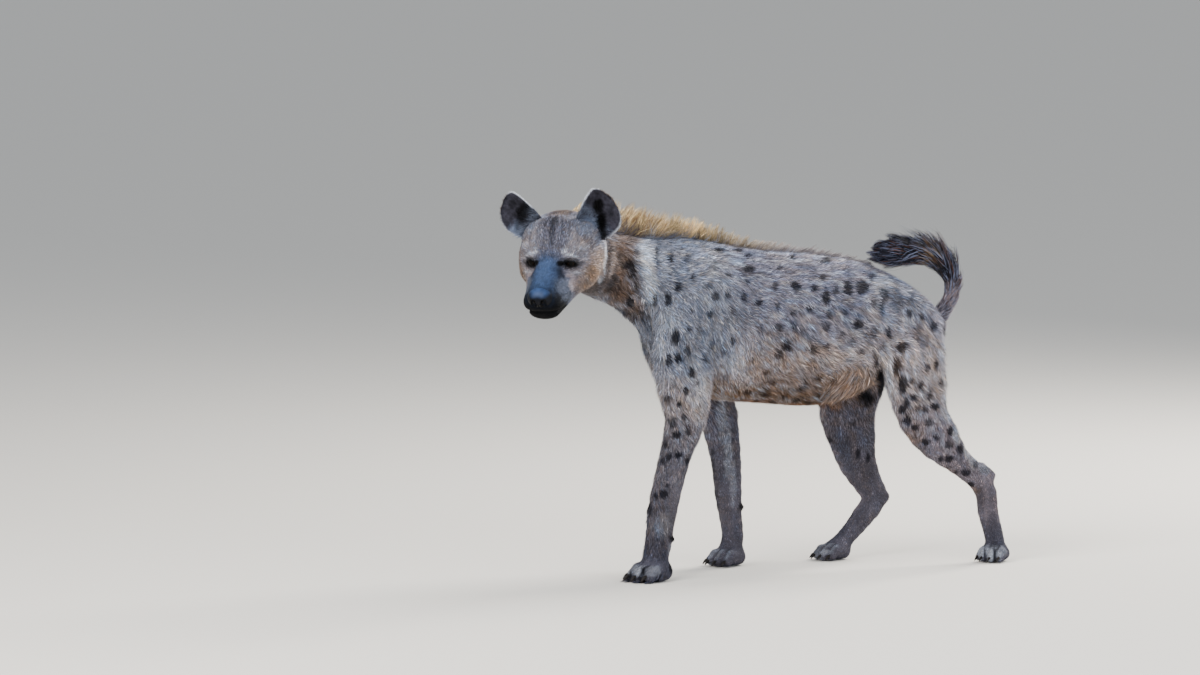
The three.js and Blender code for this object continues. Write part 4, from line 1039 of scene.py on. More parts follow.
def markings(p, n):
    """The colour of the coat at p, in linear light."""
    flow = lie(p, n)
    x, y, z = p.T
    across, down = in_picture(p)
    facing = step(-0.35, 0.0, n @ VIEW_BACK)
    warp = (noise(p, 12, 3) - 0.5) * 0.7 + (noise(p, 4, 4) - 0.5) * 0.7
    look = bpy.context.scene.hyena_coat
    c = lay(plain(look.flank_colour, p), np.array(look.back_colour), step(440, 620, z))
    c = lay(c, SHOULDER, step(-170, -260, x) * step(380, 500, z))
    c = lay(c, LOW_FLANK, trunk_share(p) * step(510, 420, z) * step(-330, -250, x))
    c = lay(c, NECK_COAT, step(-400, -470, x))
    c = lay(c, lay(SHANK, HIND_SHANK, step(-50, 50, x)), step(440, 300, z))
    c = toe_marks(p, lay(c, FOOT, step(130, 60, z)))
    inner = step(0.2, 0.8, -n[:, 1] * np.sign(y)) * step(430, 380, z) * (np.abs(y) > 40)
    c = lay(c, INNER_LEG, inner)
    c = lay(c, BELLY, trunk_share(p) * step(0.2, 0.8, -n[:, 2]) * step(480, 430, z))
    c = lay(c, WARM, 0.5 * fold_share(p))
    c = c * (0.72 + 0.56 * noise(p, 48, 1)[:, None]) * (0.8 + 0.4 * noise(p, 17, 25)[:, None])
    # Pale streaks along the hair: pale hair with painted highlights
    pale_streaks_and_highlights = step(0.5, 0.78, noise(along_hair(p, flow), 9, 5)) * step(150, 420, z) * (1 - inner)
    c = lay(c, PALE, 0.42 * pale_streaks_and_highlights)
    for colour, share, marks in (
        (WARM, facing, WARM_MARKS),
        (BELLY_RIM, facing, BELLY_EDGE),
        # Painted shadow of the cheek on the neck
        (CHEEK_SHADOW_BROWN, 0.4 + 0.6 * facing, CHEEK_SHADOW_MARKS),
        # Pale marks, partly painted highlights on the shoulder and rump
        (PALE, 0.85 * facing, PALE_AND_HIGHLIGHT_MARKS),
    ):
        c = lay(c, colour, share * drawn(across, down, warp, marks))
    low = trunk_share(p) * step(540, 480, z) * step(-280, -200, x)
    dark = lay(plain(look.spot_colour, p), WARM_SPOT, low)
    seen = np.zeros(len(p))
    for strength, spots in SPOTS_SEEN.items():
        marks = [(*spot, strength) for spot in spots]
        seen = np.maximum(seen, drawn(across, down, warp, marks, SPOT_EDGE))
    spots = np.maximum(seen * facing, unseen_spots(p, flow, warp))
    c = lay(c, dark, look.spot_strength * spots)
    # Dark marks, partly painted shade in folds, between the toes and under the throat
    c = lay(c, SPOT * 0.6, facing * drawn(across, down, warp, DARK_AND_SHADE_MARKS))
    tail, far = nearest(TAIL_PATH, p)
    c = lay(c, lay(TAIL_ROOT, TAIL_TIP, step(14, 24, tail)), step(45, 28, far) * step(2, 6, tail))
    c = lay(c, face_colour(p, flow), head_share(p))
    return np.clip(c, 0, 1)


def face_colour(p, flow):
    """The colour of the head, whose marks are laid on both halves."""
    q = in_head(p)
    f, s, u = q[:, 0], np.abs(q[:, 1]), q[:, 2]
    warp = (noise(p, 7, 6) - 0.5) * 0.6 + (noise(p, 3, 7) - 0.5) * 0.5
    x, y = face_view(p)
    streaks = noise(along_hair(p, flow, 0.85), 4, 9)
    # The forehead's blue-grey, partly a painted reflection of the sky
    h = plain(FOREHEAD, p)
    h = lay(h, FOREHEAD_STREAK, 0.85 * step(0.42, 0.72, streaks) * step(-5, 10, u))
    h = lay(h, TEMPLE, step(22, 50, s + 12 * warp) * step(-30, 0, u))
    h = lay(h, PALE, 0.22 * step(0.62, 0.85, noise(along_hair(p, flow, 0.85), 4, 19)) * step(-15, 0, u))
    h = lay(h, CHEEK, step(0, -30, u) * step(30, -20, f))
    h = lay(h, OCHRE, drawn(x, y, warp, FACE_OCHRE))
    h = lay(h, THROAT, step(-88, -122, u) * 0.85)
    muzzle = lay(MUZZLE_TOP, MUZZLE, np.maximum(step(55, 100, f), step(-45, -66, u)))
    h = lay(h, muzzle, step(-8, 34, f + 22 * warp - 0.5 * np.maximum(s - 16, 0)))
    h = lay(h, PINK, drawn(x, y, warp, FACE_PINK))
    # Painted reflection of the sky, laid in blue along the bridge of the muzzle
    bridge = step(44, 6, s + 14 * warp) * step(-30, 8, u + 0.38 * f) * step(-12, 28, f) * step(122, 76, f)
    h = lay(h, BRIDGE_SKY_REFLECTION, 0.72 * bridge * (0.6 + 0.6 * noise(p, 9, 21)))
    h = lay(h, EAR_FOOT, drawn(x, y, warp, FACE_GREY))
    h = lay(h, PALE, 0.8 * drawn(x, y, warp, FACE_PALE))
    h = lay(h, MUZZLE, drawn(x, y, 0.5 * warp, FACE_DARK))
    return h


# Meshes from arrays, and what the tools of Blender do to them

def deselect():
    if bpy.context.object and bpy.context.object.mode != "OBJECT":
        bpy.ops.object.mode_set(mode="OBJECT")
    for o in bpy.context.view_layer.objects:
        o.select_set(False)


def only(obj):
    deselect()
    bpy.context.view_layer.objects.active = obj
    obj.select_set(True)


def mesh_piece(name, points, triangles):
    """A piece from points in metres and triangles."""
    mesh = bpy.data.meshes.new(name)
    mesh.vertices.add(len(points))
    mesh.vertices.foreach_set("co", np.ascontiguousarray(points, np.float32).ravel())
    mesh.loops.add(3 * len(triangles))
    mesh.loops.foreach_set("vertex_index", np.ascontiguousarray(triangles, np.int32).ravel())
    mesh.polygons.add(len(triangles))
    mesh.polygons.foreach_set("loop_start", np.arange(0, 3 * len(triangles), 3, dtype=np.int32))
    mesh.update(calc_edges=True)
    mesh.validate()
    piece = bpy.data.objects.new(name, mesh)
    bpy.context.scene.collection.objects.link(piece)
    return piece


def read(items, name, width=1, kind=np.float32):
    """One value of all the items of a mesh, as an array with one row for each."""
    values = np.empty(width * len(items), kind)
    items.foreach_get(name, values)
    return values.reshape(-1, width) if width > 1 else values


def points_of(piece):
    return read(piece.data.vertices, "co", 3).astype(float)


def set_points(piece, p):
    piece.data.vertices.foreach_set("co", np.ascontiguousarray(p, np.float32).ravel())
    piece.data.update()


def normals_of(piece):
    return read(piece.data.vertex_normals, "vector", 3).astype(float)


def corners_of(mesh):
    """The point at each corner of the faces."""
    return read(mesh.loops, "vertex_index", kind=np.int32)


def unwrapped(mesh):
    """The unwrapped place of each corner of the faces."""
    return read(mesh.uv_layers[UV_MAP].data, "uv", 2)


def relax(piece, p, rounds):
    """Moves each point half the way to the middle of its neighbours."""
    e = read(piece.data.edges, "vertices", 2, np.int32)
    count = np.bincount(e.ravel(), minlength=len(p))[:, None]
    for _ in range(rounds):
        total = np.stack([
            np.bincount(e[:, 0], p[e[:, 1], k], len(p)) + np.bincount(e[:, 1], p[e[:, 0], k], len(p))
            for k in range(3)
        ], axis=1)
        p = p + (total / np.maximum(count, 1) - p) * 0.5
    return p


def store_colour(piece, colours):
    layer = piece.data.color_attributes.new(name=COAT_COLOUR, type="FLOAT_COLOR", domain="POINT")
    rgba = np.ones((len(colours), 4), np.float32)
    rgba[:, :3] = colours
    layer.data.foreach_set("color", rgba.ravel())


def store_value(piece, name, values):
    layer = piece.data.attributes.new(name=name, type="FLOAT", domain="POINT")
    layer.data.foreach_set("value", np.ascontiguousarray(values, np.float32))


def smooth(piece):
    piece.data.polygons.foreach_set("use_smooth", np.ones(len(piece.data.polygons), bool))


@contextmanager
def editing(piece):
    """Edit mode on a piece, with all of it selected."""
    only(piece)
    bpy.ops.object.mode_set(mode="EDIT")
    bpy.ops.mesh.select_all(action="SELECT")
    yield
    bpy.ops.object.mode_set(mode="OBJECT")


def unwrap(piece):
    with editing(piece):
        bpy.ops.uv.smart_project(angle_limit=math.radians(66), island_margin=0.002)
    piece.data.uv_layers[0].name = UV_MAP


def face_outwards(piece):
    """Turns all the faces of a closed piece outwards."""
    with editing(piece):
        bpy.ops.mesh.normals_make_consistent(inside=False)


def made_by(operator, **values):
    """The new object that one of the add operators makes."""
    deselect()
    operator(**values)
    return bpy.context.object


def loft_quads(rings, around):
    """The corners of each quad between rings of points: two on a ring, then two on the next."""
    for i in range(rings - 1):
        for j in range(around):
            k = (j + 1) % around
            yield i * around + j, i * around + k, (i + 1) * around + j, (i + 1) * around + k


# The skin

def template_sphere():
    """Points and triangles of a ball of radius 1."""
    ball = made_by(bpy.ops.mesh.primitive_uv_sphere_add, segments=20, ring_count=12, radius=1)
    points = points_of(ball)
    ball.data.calc_loop_triangles()
    triangles = read(ball.data.loop_triangles, "vertices", 3, np.int32)
    bpy.data.objects.remove(ball)
    return points, triangles


def trunk_shell():
    """A closed shell through the stations of the trunk."""
    x = np.linspace(TRUNK[0, 0], TRUNK[-1, 0], TRUNK_RINGS)
    a = np.linspace(0, 2 * math.pi, TRUNK_AROUND, endpoint=False)
    top, bottom, width = (trunk_value(c, x)[:, None] for c in (1, 2, 3))
    z = (top + bottom) / 2 + (top - bottom) / 2 * np.sin(a)
    y = width * np.cos(a)
    points = np.stack([np.broadcast_to(x[:, None], y.shape), y, z], axis=2).reshape(-1, 3)
    triangles = []
    for a0, a1, b0, b1 in loft_quads(TRUNK_RINGS, TRUNK_AROUND):
        triangles += [(a0, b0, b1), (a0, b1, a1)]
    last = (TRUNK_RINGS - 1) * TRUNK_AROUND
    for j in range(1, TRUNK_AROUND - 1):
        triangles += [(0, j, j + 1), (last, last + j + 1, last + j)]
    return points, np.array(triangles)


def rough_body():
    """All the masses as one heap of closed shells, melted into one by a remesh."""
    ball, faces = template_sphere()
    points, triangles = trunk_shell()
    heap, joined, start = [points], [triangles], len(points)
    masses = [m for body in ALL_LIMBS for m in body["masses"]] + HEAD_MASSES
    r = EYE_RADIUS + LID
    for side in SIDES.values():
        c = eye_centre(side)
        masses.append(Mass(c, c + HEAD_FORWARD, (r, r), (r, r), HEAD_SIDE, 1))
    t = (ball[:, 2] > 0).astype(float)[:, None]
    for m in masses:
        w = mix(m.size_a[0], m.size_b[0], t)
        h = mix(m.size_a[1], m.size_b[1], t)
        x, y, z = ball[:, :1], ball[:, 1:2], ball[:, 2:]
        shell = mix(m.a, m.b, t) + x * w * m.side + y * h * m.up + z * h * m.axis
        heap.append(shell)
        joined.append(faces + start)
        start += len(shell)
    body = mesh_piece("skin", to_frame(np.concatenate(heap)), np.concatenate(joined))
    only(body)
    remesh = body.modifiers.new("melt", "REMESH")
    remesh.mode = "VOXEL"
    remesh.voxel_size = VOXEL / 1000
    bpy.ops.object.modifier_apply(modifier=remesh.name)
    return body


def finer(body, wanted):
    """Cuts the faces in the wanted places into four."""
    only(body)
    mesh = body.data
    where = wanted(from_frame(points_of(body)))
    for items in (mesh.polygons, mesh.edges, mesh.vertices):
        items.foreach_set("select", np.zeros(len(items), bool))
    for face in mesh.polygons:
        face.select = all(where[v] for v in face.vertices)
    bpy.ops.object.mode_set(mode="EDIT")
    bpy.ops.mesh.select_mode(type="FACE")
    bpy.ops.mesh.subdivide(number_cuts=1)
    bpy.ops.object.mode_set(mode="OBJECT")


def near_eye(p, reach):
    away = [lengths(p - eye_centre(s) - 8 * gaze(s)) for s in SIDES.values()]
    return np.minimum(*away) < reach


def build_skin():
    """The rough body drawn onto the skin's field, and finer on the face and feet and round the eyes."""
    body = rough_body()
    p = from_frame(points_of(body))
    p = settle(skin_field, p, 4, 8)
    for _ in range(2):
        p = settle(skin_field, relax(body, p, 3), 2, 4)
    set_points(body, to_frame(p))
    finer(body, lambda q: (in_head(q)[:, 0] > -80) & (lengths(q - EYE_MIDPOINT) < 230))
    finer(body, lambda q: q[:, 2] < 58)
    finer(body, lambda q: near_eye(q, 30))
    finer(body, lambda q: near_eye(q, 23))
    p = from_frame(points_of(body))
    for _ in range(2):
        p = settle(skin_field, relax(body, p, 2), 2, 3)
    set_points(body, to_frame(p))
    open_lids(body)
    return body


def open_lids(body):
    """Takes out the skin between the lids and turns their rims in towards the eyeballs."""
    p = from_frame(points_of(body))
    inside = lid_cut(p) < 0
    work = bmesh.new()
    work.from_mesh(body.data)
    work.verts.ensure_lookup_table()
    gone = [f for f in work.faces if sum(inside[v.index] for v in f.verts) * 2 > len(f.verts)]
    bmesh.ops.delete(work, geom=gone, context="FACES")
    rim = [e for e in work.edges if e.is_boundary]
    rim_points = {v for e in rim for v in e.verts}
    ends = np.array([from_frame(np.array(v.co)) for v in rim_points])
    for _ in range(4):
        ends = settle(skin_field, settle(lid_cut, ends, 1, 1.2, 0.3, 0.3), 1, 1)
    for v, q in zip(rim_points, ends):
        v.co = to_frame(q)
    for depth in LID_TURNS:
        made = bmesh.ops.extrude_edge_only(work, edges=[e for e in work.edges if e.is_boundary])
        fresh = [g for g in made["geom"] if isinstance(g, bmesh.types.BMVert)]
        for v in fresh:
            q = from_frame(np.array(v.co))
            c = min((eye_centre(s) for s in SIDES.values()), key=lambda e: np.linalg.norm(e - q))
            reach = np.linalg.norm(q - c)
            v.co = to_frame(c + (q - c) * (max(reach - depth, EYE_RADIUS - LID_END) / reach))
    work.to_mesh(body.data)
    work.free()


# Strands: closed tapered tufts with three sides

def in_box(points):
    """Keeps points inside the solids' own box."""
    low, high = (np.array(corner) * 1000 - SHIFT for corner in CAD_BOX)
    return np.clip(points, low + BOX_MARGIN, high - BOX_MARGIN)


def gather(paths, pick, every, share):
    """Draws tufts together into locks: each bends towards the tip of a leader near it."""
    leaders = pick.permutation(len(paths))[:max(len(paths) // every, 1)]
    root = paths[:, 0]
    own = nearest(root[leaders], root)[0]
    lead = paths[leaders][own]
    pull = share * np.linspace(0, 1, paths.shape[1]) ** 1.3
    shift = (lead - paths) * pull[None, :, None]
    return paths + shift


def strand_piece(name, paths, widths, sides, flatness, colours, uvs):
    """One piece of many tufts: paths (n, k+1, 3) from root to tip in millimetres, widths (n, k)."""
    n, k = widths.shape
    run = unit(np.gradient(paths, axis=1))[:, :k]
    side = unit(sides[:, None, :] - run * (sides[:, None, :] * run).sum(axis=2, keepdims=True))
    up = np.cross(side, run)
    half = widths[:, :, None] / 2
    left = paths[:, :k] - side * half
    right = paths[:, :k] + side * half
    top = paths[:, :k] + up * half * flatness * 2
    rings = np.stack([left, top, right], axis=2).reshape(n, 3 * k, 3)
    points = in_box(np.concatenate([rings, paths[:, k:]], axis=1))
    faces = [(2, 1, 0)]
    for i in range(k - 1):
        for j in range(3):
            a, b = 3 * i + j, 3 * i + (j + 1) % 3
            faces += [(a, b, b + 3), (a, b + 3, a + 3)]
    faces += [(3 * (k - 1) + j, 3 * (k - 1) + (j + 1) % 3, 3 * k) for j in range(3)]
    faces = np.array(faces)
    size = 3 * k + 1
    triangles = (faces[None] + size * np.arange(n)[:, None, None]).reshape(-1, 3)
    piece = mesh_piece(name, to_frame(points.reshape(-1, 3)), triangles)
    store_colour(piece, np.repeat(colours, size, axis=0))
    along = np.concatenate([np.repeat(np.arange(k) / k, 3), [1.0]])
    store_value(piece, "along", np.tile(along, n))
    corner = np.array([(-1, -1), (0, 1), (1, -1)], float)
    local = np.concatenate([corner * (1 - 0.6 * i / k) for i in range(k)] + [np.zeros((1, 2))]) * UV_PATCH
    uv = (uvs[:, None, :] + local[None]).reshape(-1, 2)
    layer = piece.data.uv_layers.new(name=UV_MAP)
    layer.data.foreach_set("uv", np.ascontiguousarray(uv[corners_of(piece.data)], np.float32).ravel())
    smooth(piece)
    return piece


def sample(piece, density, seed):
    """Seeded points on a piece: place, normal and unwrapped place, so many for each mm²."""
    mesh = piece.data
    mesh.calc_loop_triangles()
    corners = read(mesh.loop_triangles, "vertices", 3, np.int32)
    loops = read(mesh.loop_triangles, "loops", 3, np.int32)
    p = from_frame(points_of(piece))
    n = normals_of(piece)
    a, b, c = (p[corners[:, i]] for i in range(3))
    area = lengths(np.cross(b - a, c - a)) / 2
    pick = np.random.default_rng(seed)
    wanted = area * density((a + b + c) / 3, unit(n[corners].mean(axis=1)))
    number = np.floor(wanted + pick.random(len(area))).astype(int)
    which = np.repeat(np.arange(len(area)), number)
    u, v = pick.random(len(which)), pick.random(len(which))
    over = u + v > 1
    u[over], v[over] = 1 - u[over], 1 - v[over]
    w = np.stack([1 - u - v, u, v], axis=1)[:, :, None]
    place = (p[corners[which]] * w).sum(axis=1)
    normal = unit((n[corners[which]] * w).sum(axis=1))
    flat = (unwrapped(mesh)[loops[which]] * w).sum(axis=1)
    return place, normal, flat


# Materials

def new_material(name, roughness, specular):
    """A material, its nodes, its links and its shader."""
    m = bpy.data.materials.new(name)
    m.use_nodes = True
    nodes, links = m.node_tree.nodes, m.node_tree.links
    shader = nodes["Principled BSDF"]
    shader.inputs["Roughness"].default_value = roughness
    shader.inputs["Specular IOR Level"].default_value = specular
    return m, nodes, links, shader


def node(nodes, kind, sockets=None, **values):
    """A new node with its settings, and values on its sockets."""
    made = nodes.new(kind)
    for key, value in values.items():
        setattr(made, key, value)
    for key, value in (sockets or {}).items():
        made.inputs[key].default_value = value
    return made


def add_bump(nodes, links, shader, height, strength, distance):
    bump = node(nodes, "ShaderNodeBump", {"Strength": strength, "Distance": distance})
    links.new(height, bump.inputs["Height"])
    links.new(bump.outputs["Normal"], shader.inputs["Normal"])


def hair_group():
    """Streaks of hair over a colour, and their height."""
    group = bpy.data.node_groups.get("hair streaks")
    if group:
        return group
    group = bpy.data.node_groups.new("hair streaks", "ShaderNodeTree")
    for name, way, kind in (
        ("Colour", "INPUT", "Color"), ("Scale", "INPUT", "Float"), ("Strength", "INPUT", "Float"),
        ("Colour", "OUTPUT", "Color"), ("Height", "OUTPUT", "Float"),
    ):
        group.interface.new_socket(name, in_out=way, socket_type=f"NodeSocket{kind}")
    nodes, links = group.nodes, group.links
    enter, leave = nodes.new("NodeGroupInput"), nodes.new("NodeGroupOutput")
    place = nodes.new("ShaderNodeTexCoord")
    stretch = node(nodes, "ShaderNodeMapping", {"Scale": (0.25, 1, 0.5)})
    streaks = node(nodes, "ShaderNodeTexNoise", {"Detail": 5})
    spread = node(
        nodes, "ShaderNodeMapRange", {"From Min": 0.3, "From Max": 0.7, "To Min": 0.62, "To Max": 1.3})
    shade = node(nodes, "ShaderNodeMix", data_type="RGBA", blend_type="MULTIPLY")
    links.new(place.outputs["Object"], stretch.inputs["Vector"])
    links.new(stretch.outputs["Vector"], streaks.inputs["Vector"])
    links.new(enter.outputs["Scale"], streaks.inputs["Scale"])
    links.new(streaks.outputs["Fac"], spread.inputs["Value"])
    links.new(enter.outputs["Strength"], shade.inputs["Factor"])
    links.new(enter.outputs["Colour"], shade.inputs["A"])
    links.new(spread.outputs["Result"], shade.inputs["B"])
    links.new(shade.outputs["Result"], leave.inputs["Colour"])
    links.new(streaks.outputs["Fac"], leave.inputs["Height"])
    return group


def streaked_coat(nodes, links, scale, strength):
    """The piece's own colours under streaks of hair."""
    colour = node(nodes, "ShaderNodeAttribute", attribute_name=COAT_COLOUR)
    hair = node(nodes, "ShaderNodeGroup", {"Scale": scale, "Strength": strength}, node_tree=hair_group())
    links.new(colour.outputs["Color"], hair.inputs["Colour"])
    return hair


def skin_material():
    m, nodes, links, shader = new_material("short coat over skin", 0.8, 0.06)
    hair = streaked_coat(nodes, links, 420, 0.8)
    links.new(hair.outputs["Colour"], shader.inputs["Base Color"])
    add_bump(nodes, links, shader, hair.outputs["Height"], 0.6, 0.002)
    return m


def hair_material(name, root_shade, tip=None):
    """Hair with painted shade at its root when root_shade is below 1, lightening towards its tip, and which
    may have a colour of its own from a place near its tip.
    """
    m, nodes, links, shader = new_material(name, 0.6, 0.07)
    hair = streaked_coat(nodes, links, 300, 0.6)
    along = node(nodes, "ShaderNodeAttribute", attribute_name="along")
    # Painted shade at the root, lighter towards the tip
    light = node(nodes, "ShaderNodeMapRange", {"To Min": root_shade, "To Max": 1.3})
    links.new(along.outputs["Fac"], light.inputs["Value"])
    shade = node(nodes, "ShaderNodeMix", {"Factor": 1}, data_type="RGBA", blend_type="MULTIPLY")
    links.new(hair.outputs["Colour"], shade.inputs["A"])
    links.new(light.outputs["Result"], shade.inputs["B"])
    result = shade.outputs["Result"]
    if tip is not None:
        colour, start = tip
        reach = node(nodes, "ShaderNodeMapRange", {"From Min": start, "From Max": 1})
        links.new(along.outputs["Fac"], reach.inputs["Value"])
        end = node(nodes, "ShaderNodeMix", {"B": (*colour, 1)}, data_type="RGBA")
        links.new(reach.outputs["Result"], end.inputs["Factor"])
        links.new(result, end.inputs["A"])
        result = end.outputs["Result"]
    links.new(result, shader.inputs["Base Color"])
    return m


def wear(piece, material):
    piece.data.materials.clear()
    piece.data.materials.append(material)


# The pieces, one operator for each or for a group of like ones

SKIN_NODES = [
    "tail_base", "tail_bend", "tail_tuft", "torso", "neck", "lower_jaw", "head",
    *[f"{leg}_{part}" for leg in PAWS for part in ("upper", "lower", "paw")],
]


class HYENA_OT_skin(bpy.types.Operator):
    """Body, head and legs as one skin with open lids, under the coat"""
    bl_idname = "hyena.skin"
    bl_label = "Skin"

    def execute(self, context):
        body = build_skin()
        smooth(body)
        unwrap(body)
        p, n = from_frame(points_of(body)), normals_of(body)
        SPOTS_UNSEEN[:] = spot_centres(p, n)
        # Painted shade of the coat on the skin under it, except on the muzzle
        under = mix(0.45, 0.9, step(0.2, 0.8, muzzle_share(p)))  # darker where the coat is thick
        store_colour(body, markings(p, n) * under[:, None])
        wear(body, skin_material())
        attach(body, "root")
        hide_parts(*SKIN_NODES)
        return {"FINISHED"}


def ear_frame(name):
    """An ear's base, its ways along, out and to the front, and its size, in the head's frame."""
    side = SIDES[name]
    drop, size = EAR_POSE[name]
    lean = EAR_LEAN - drop
    base = np.array([EAR["forward"], side * EAR["side"], EAR["up"]])
    along = np.array([0, -side * math.sin(lean), math.cos(lean)])
    out = unit(np.array([-0.1, side * math.cos(lean), math.sin(lean)]))
    facing = unit(np.cross(along, out) * -side)
    return base, along, out, facing, size


def ear_piece(name):
    """A cupped ear: a closed shell lofted from its base to its tip."""
    base, along, out, facing, size = ear_frame(name)
    spread = np.linspace(-1, 1, EAR_ROWS)
    rings = []
    for i in range(EAR_RINGS):
        t = i / (EAR_RINGS - 1)
        height, top, bottom = curve_point(EAR_OUTLINE, t, 0.5)
        cup = EAR["cup"] * (1 - 0.75 * t)
        thickness = mix(EAR["thickness"] * 1.5, EAR["thickness"] * 0.5, t) * 0.8
        ring = []
        for front, row in enumerate((spread, spread[::-1])):
            for s in row:
                edge = math.sqrt(max(1 - s * s, 0))
                place = mix(bottom + 1.5, top - 1.5, (s + 1) / 2)
                depth = -cup * (1 - s * s) + front * thickness * (0.25 + 0.75 * edge) + (1 - front) * 0.5
                local = base + along * place * size + out * (height - 1) * size + facing * depth
                ring.append(on_head(local))
        rings.append(ring if name == "left" else ring[::-1])
    rings = np.array(rings)
    points = np.concatenate([rings.reshape(-1, 3), [rings[0].mean(axis=0)], [rings[-1].mean(axis=0)]])
    around = 2 * EAR_ROWS
    faces = []
    for a0, a1, b0, b1 in loft_quads(EAR_RINGS, around):
        faces += [(a0, a1, b1), (a0, b1, b0)]
    last = (EAR_RINGS - 1) * around
    for j in range(around):
        k = (j + 1) % around
        faces += [(len(points) - 2, k, j), (len(points) - 1, last + j, last + k)]
    piece = mesh_piece(f"ear_{name}_skin", to_frame(points), np.array(faces))
    face_outwards(piece)
    return piece


class HYENA_OT_ears(bpy.types.Operator):
    """Two round ears with short hair on their backs and longer hair inside"""
    bl_idname = "hyena.ears"
    bl_label = "Ears"

    def execute(self, context):
        for name in SIDES:
            ear = ear_piece(name)
            smooth(ear)
            unwrap(ear)
            p, n = from_frame(points_of(ear)), normals_of(ear)
            store_colour(ear, ear_colour(p, n, name))
            wear(ear, skin_material())
            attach(ear, "root")
            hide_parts(f"ear_{name}")
            self.hair(ear, name)
        return {"FINISHED"}

    def hair(self, ear, name):
        """Tufts over an ear: fanned out and long at the foot of its front, short and pale on its rim."""
        p, n, uv = sample(ear, lambda q, m: np.full(len(q), EAR_DENSITY), SEED + 20)
        pick = np.random.default_rng(SEED + 21)
        l, h, front, rim = ear_place(p, n, name)
        along, out = ear_frame(name)[1:3]
        up, wide = out @ HEAD_AXES, along @ HEAD_AXES
        fan = unit(up + wide * ((l - 8) / 40)[:, None] * front[:, None])
        d = unit(fan - n * (fan * n).sum(axis=1, keepdims=True) + 0.16 * pick.normal(size=p.shape))
        low = front * step(34, 10, h)
        length = mix(mix(6.0, 5.0, front), 15.0, low) * pick.uniform(0.6, 1.2, len(p))
        length = mix(length, 4.5, rim)
        lift = mix(mix(0.2, 0.3, front), 0.55, low)[:, None]
        tip = p + (d + n * lift) * length[:, None]
        colours = ear_colour(p, n, name) * np.exp(0.25 * pick.normal(size=(len(p), 1)))
        x, y = in_picture(p)
        # No pale tufts in the painted shade of the hollow
        open_part = 1 - drawn(x, y, np.zeros(len(x)), EAR_SHADE_MARKS)
        colours = lay(colours, EAR_TUFT, 0.6 * low * open_part * (pick.random(len(p)) < 0.6))
        colours = lay(colours, EAR_RIM_TUFT, rim * (pick.random(len(p)) < 0.7))
        paths = np.stack([p - n * 0.5, tip], axis=1)
        width = mix(1.1, 0.9, front)[:, None]
        across = np.cross(d, n)
        hair = strand_piece(f"ear_{name}_hair", paths, width, across, FLATNESS["ear"], colours, uv)
        wear(hair, hair_material(f"ear hair {name}", 0.75))
        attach(hair, "root")


def ear_place(p, n, name):
    """Where points lie on an ear: along, out, how far on its open front, and how near its rim."""
    base, along, out, facing, size = ear_frame(name)
    local = (p - on_head(base)) @ (np.array([along, out, facing]) @ HEAD_AXES).T / size
    heights, tops, bottoms = np.array(EAR_OUTLINE, float).T
    h = np.clip(local[:, 1], heights[0], heights[-1])
    top, bottom = np.interp(h, heights, tops), np.interp(h, heights, bottoms)
    margin = np.minimum(np.minimum(top - local[:, 0], local[:, 0] - bottom), heights[-1] + 4 - local[:, 1])
    rim = step(4.5, 1.5, margin) * step(-4, 14, local[:, 1])
    front = step(-0.1, 0.3, n @ (facing @ HEAD_AXES))
    return local[:, 0], local[:, 1], front, rim


def ear_colour(p, n, name):
    front, rim = ear_place(p, n, name)[2:]
    warp = (noise(p, 8, 12) - 0.5) * 0.7 + (noise(p, 3, 13) - 0.5) * 0.6
    x, y = in_picture(p)
    c = lay(plain(EAR_BACK, p), EAR_FRONT, front)
    c = c * (0.4 + 1.2 * noise(p, 5, 14)[:, None])
    c = lay(c, EAR_SHEEN, front * drawn(x, y, warp, EAR_BLUE))
    # Painted shade in the hollow of the ear
    c = lay(c, EAR_HOLLOW_SHADE, front * drawn(x, y, warp, EAR_SHADE_MARKS))
    return lay(c, EAR_RIM, 0.7 * rim)


class HYENA_OT_eyes(bpy.types.Operator):
    """Two dark brown eyes deep under their lids"""
    bl_idname = "hyena.eyes"
    bl_label = "Eyes"

    def execute(self, context):
        for name, side in SIDES.items():
            add = bpy.ops.mesh.primitive_uv_sphere_add
            eye = made_by(add, segments=48, ring_count=32, radius=EYE_RADIUS / 1000)
            eye.name = f"eyeball_{name}"
            p = points_of(eye) * 1000
            ring = np.arccos(np.clip(p[:, 2] / EYE_RADIUS, -1, 1))
            bulge = 1 + EYE_BULGE * step(0.75, 0.2, ring)
            look = Vector(gaze(side)).to_track_quat("Z", "Y").to_matrix()
            p = (p * bulge[:, None]) @ np.array(look).T
            set_points(eye, to_frame(p * EYE_FIT + eye_centre(side)))
            eye.location = (0, 0, 0)
            store_value(eye, "ring", ring)
            smooth(eye)
            wear(eye, eye_material())
            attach(eye, "root")
            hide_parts(f"eye_{name}")
        return {"FINISHED"}


def eye_material():
    m, nodes, links, shader = new_material("eye", 0.4, 0.03)
    ring = node(nodes, "ShaderNodeAttribute", attribute_name="ring")
    scale = node(nodes, "ShaderNodeMath", {1: 2.0}, operation="DIVIDE")
    links.new(ring.outputs["Fac"], scale.inputs[0])
    ramp = nodes.new("ShaderNodeValToRGB")
    while len(ramp.color_ramp.elements) < len(EYE_STOPS):
        ramp.color_ramp.elements.new(0.5)
    for element, (place, code) in zip(ramp.color_ramp.elements, EYE_STOPS):
        element.position = place
        element.color = (*rgb(code), 1)
    links.new(scale.outputs["Value"], ramp.inputs["Fac"])
    links.new(ramp.outputs["Color"], shader.inputs["Base Color"])
    shader.inputs["Coat Weight"].default_value = 0.06
    shader.inputs["Coat Roughness"].default_value = 0.05
    return m


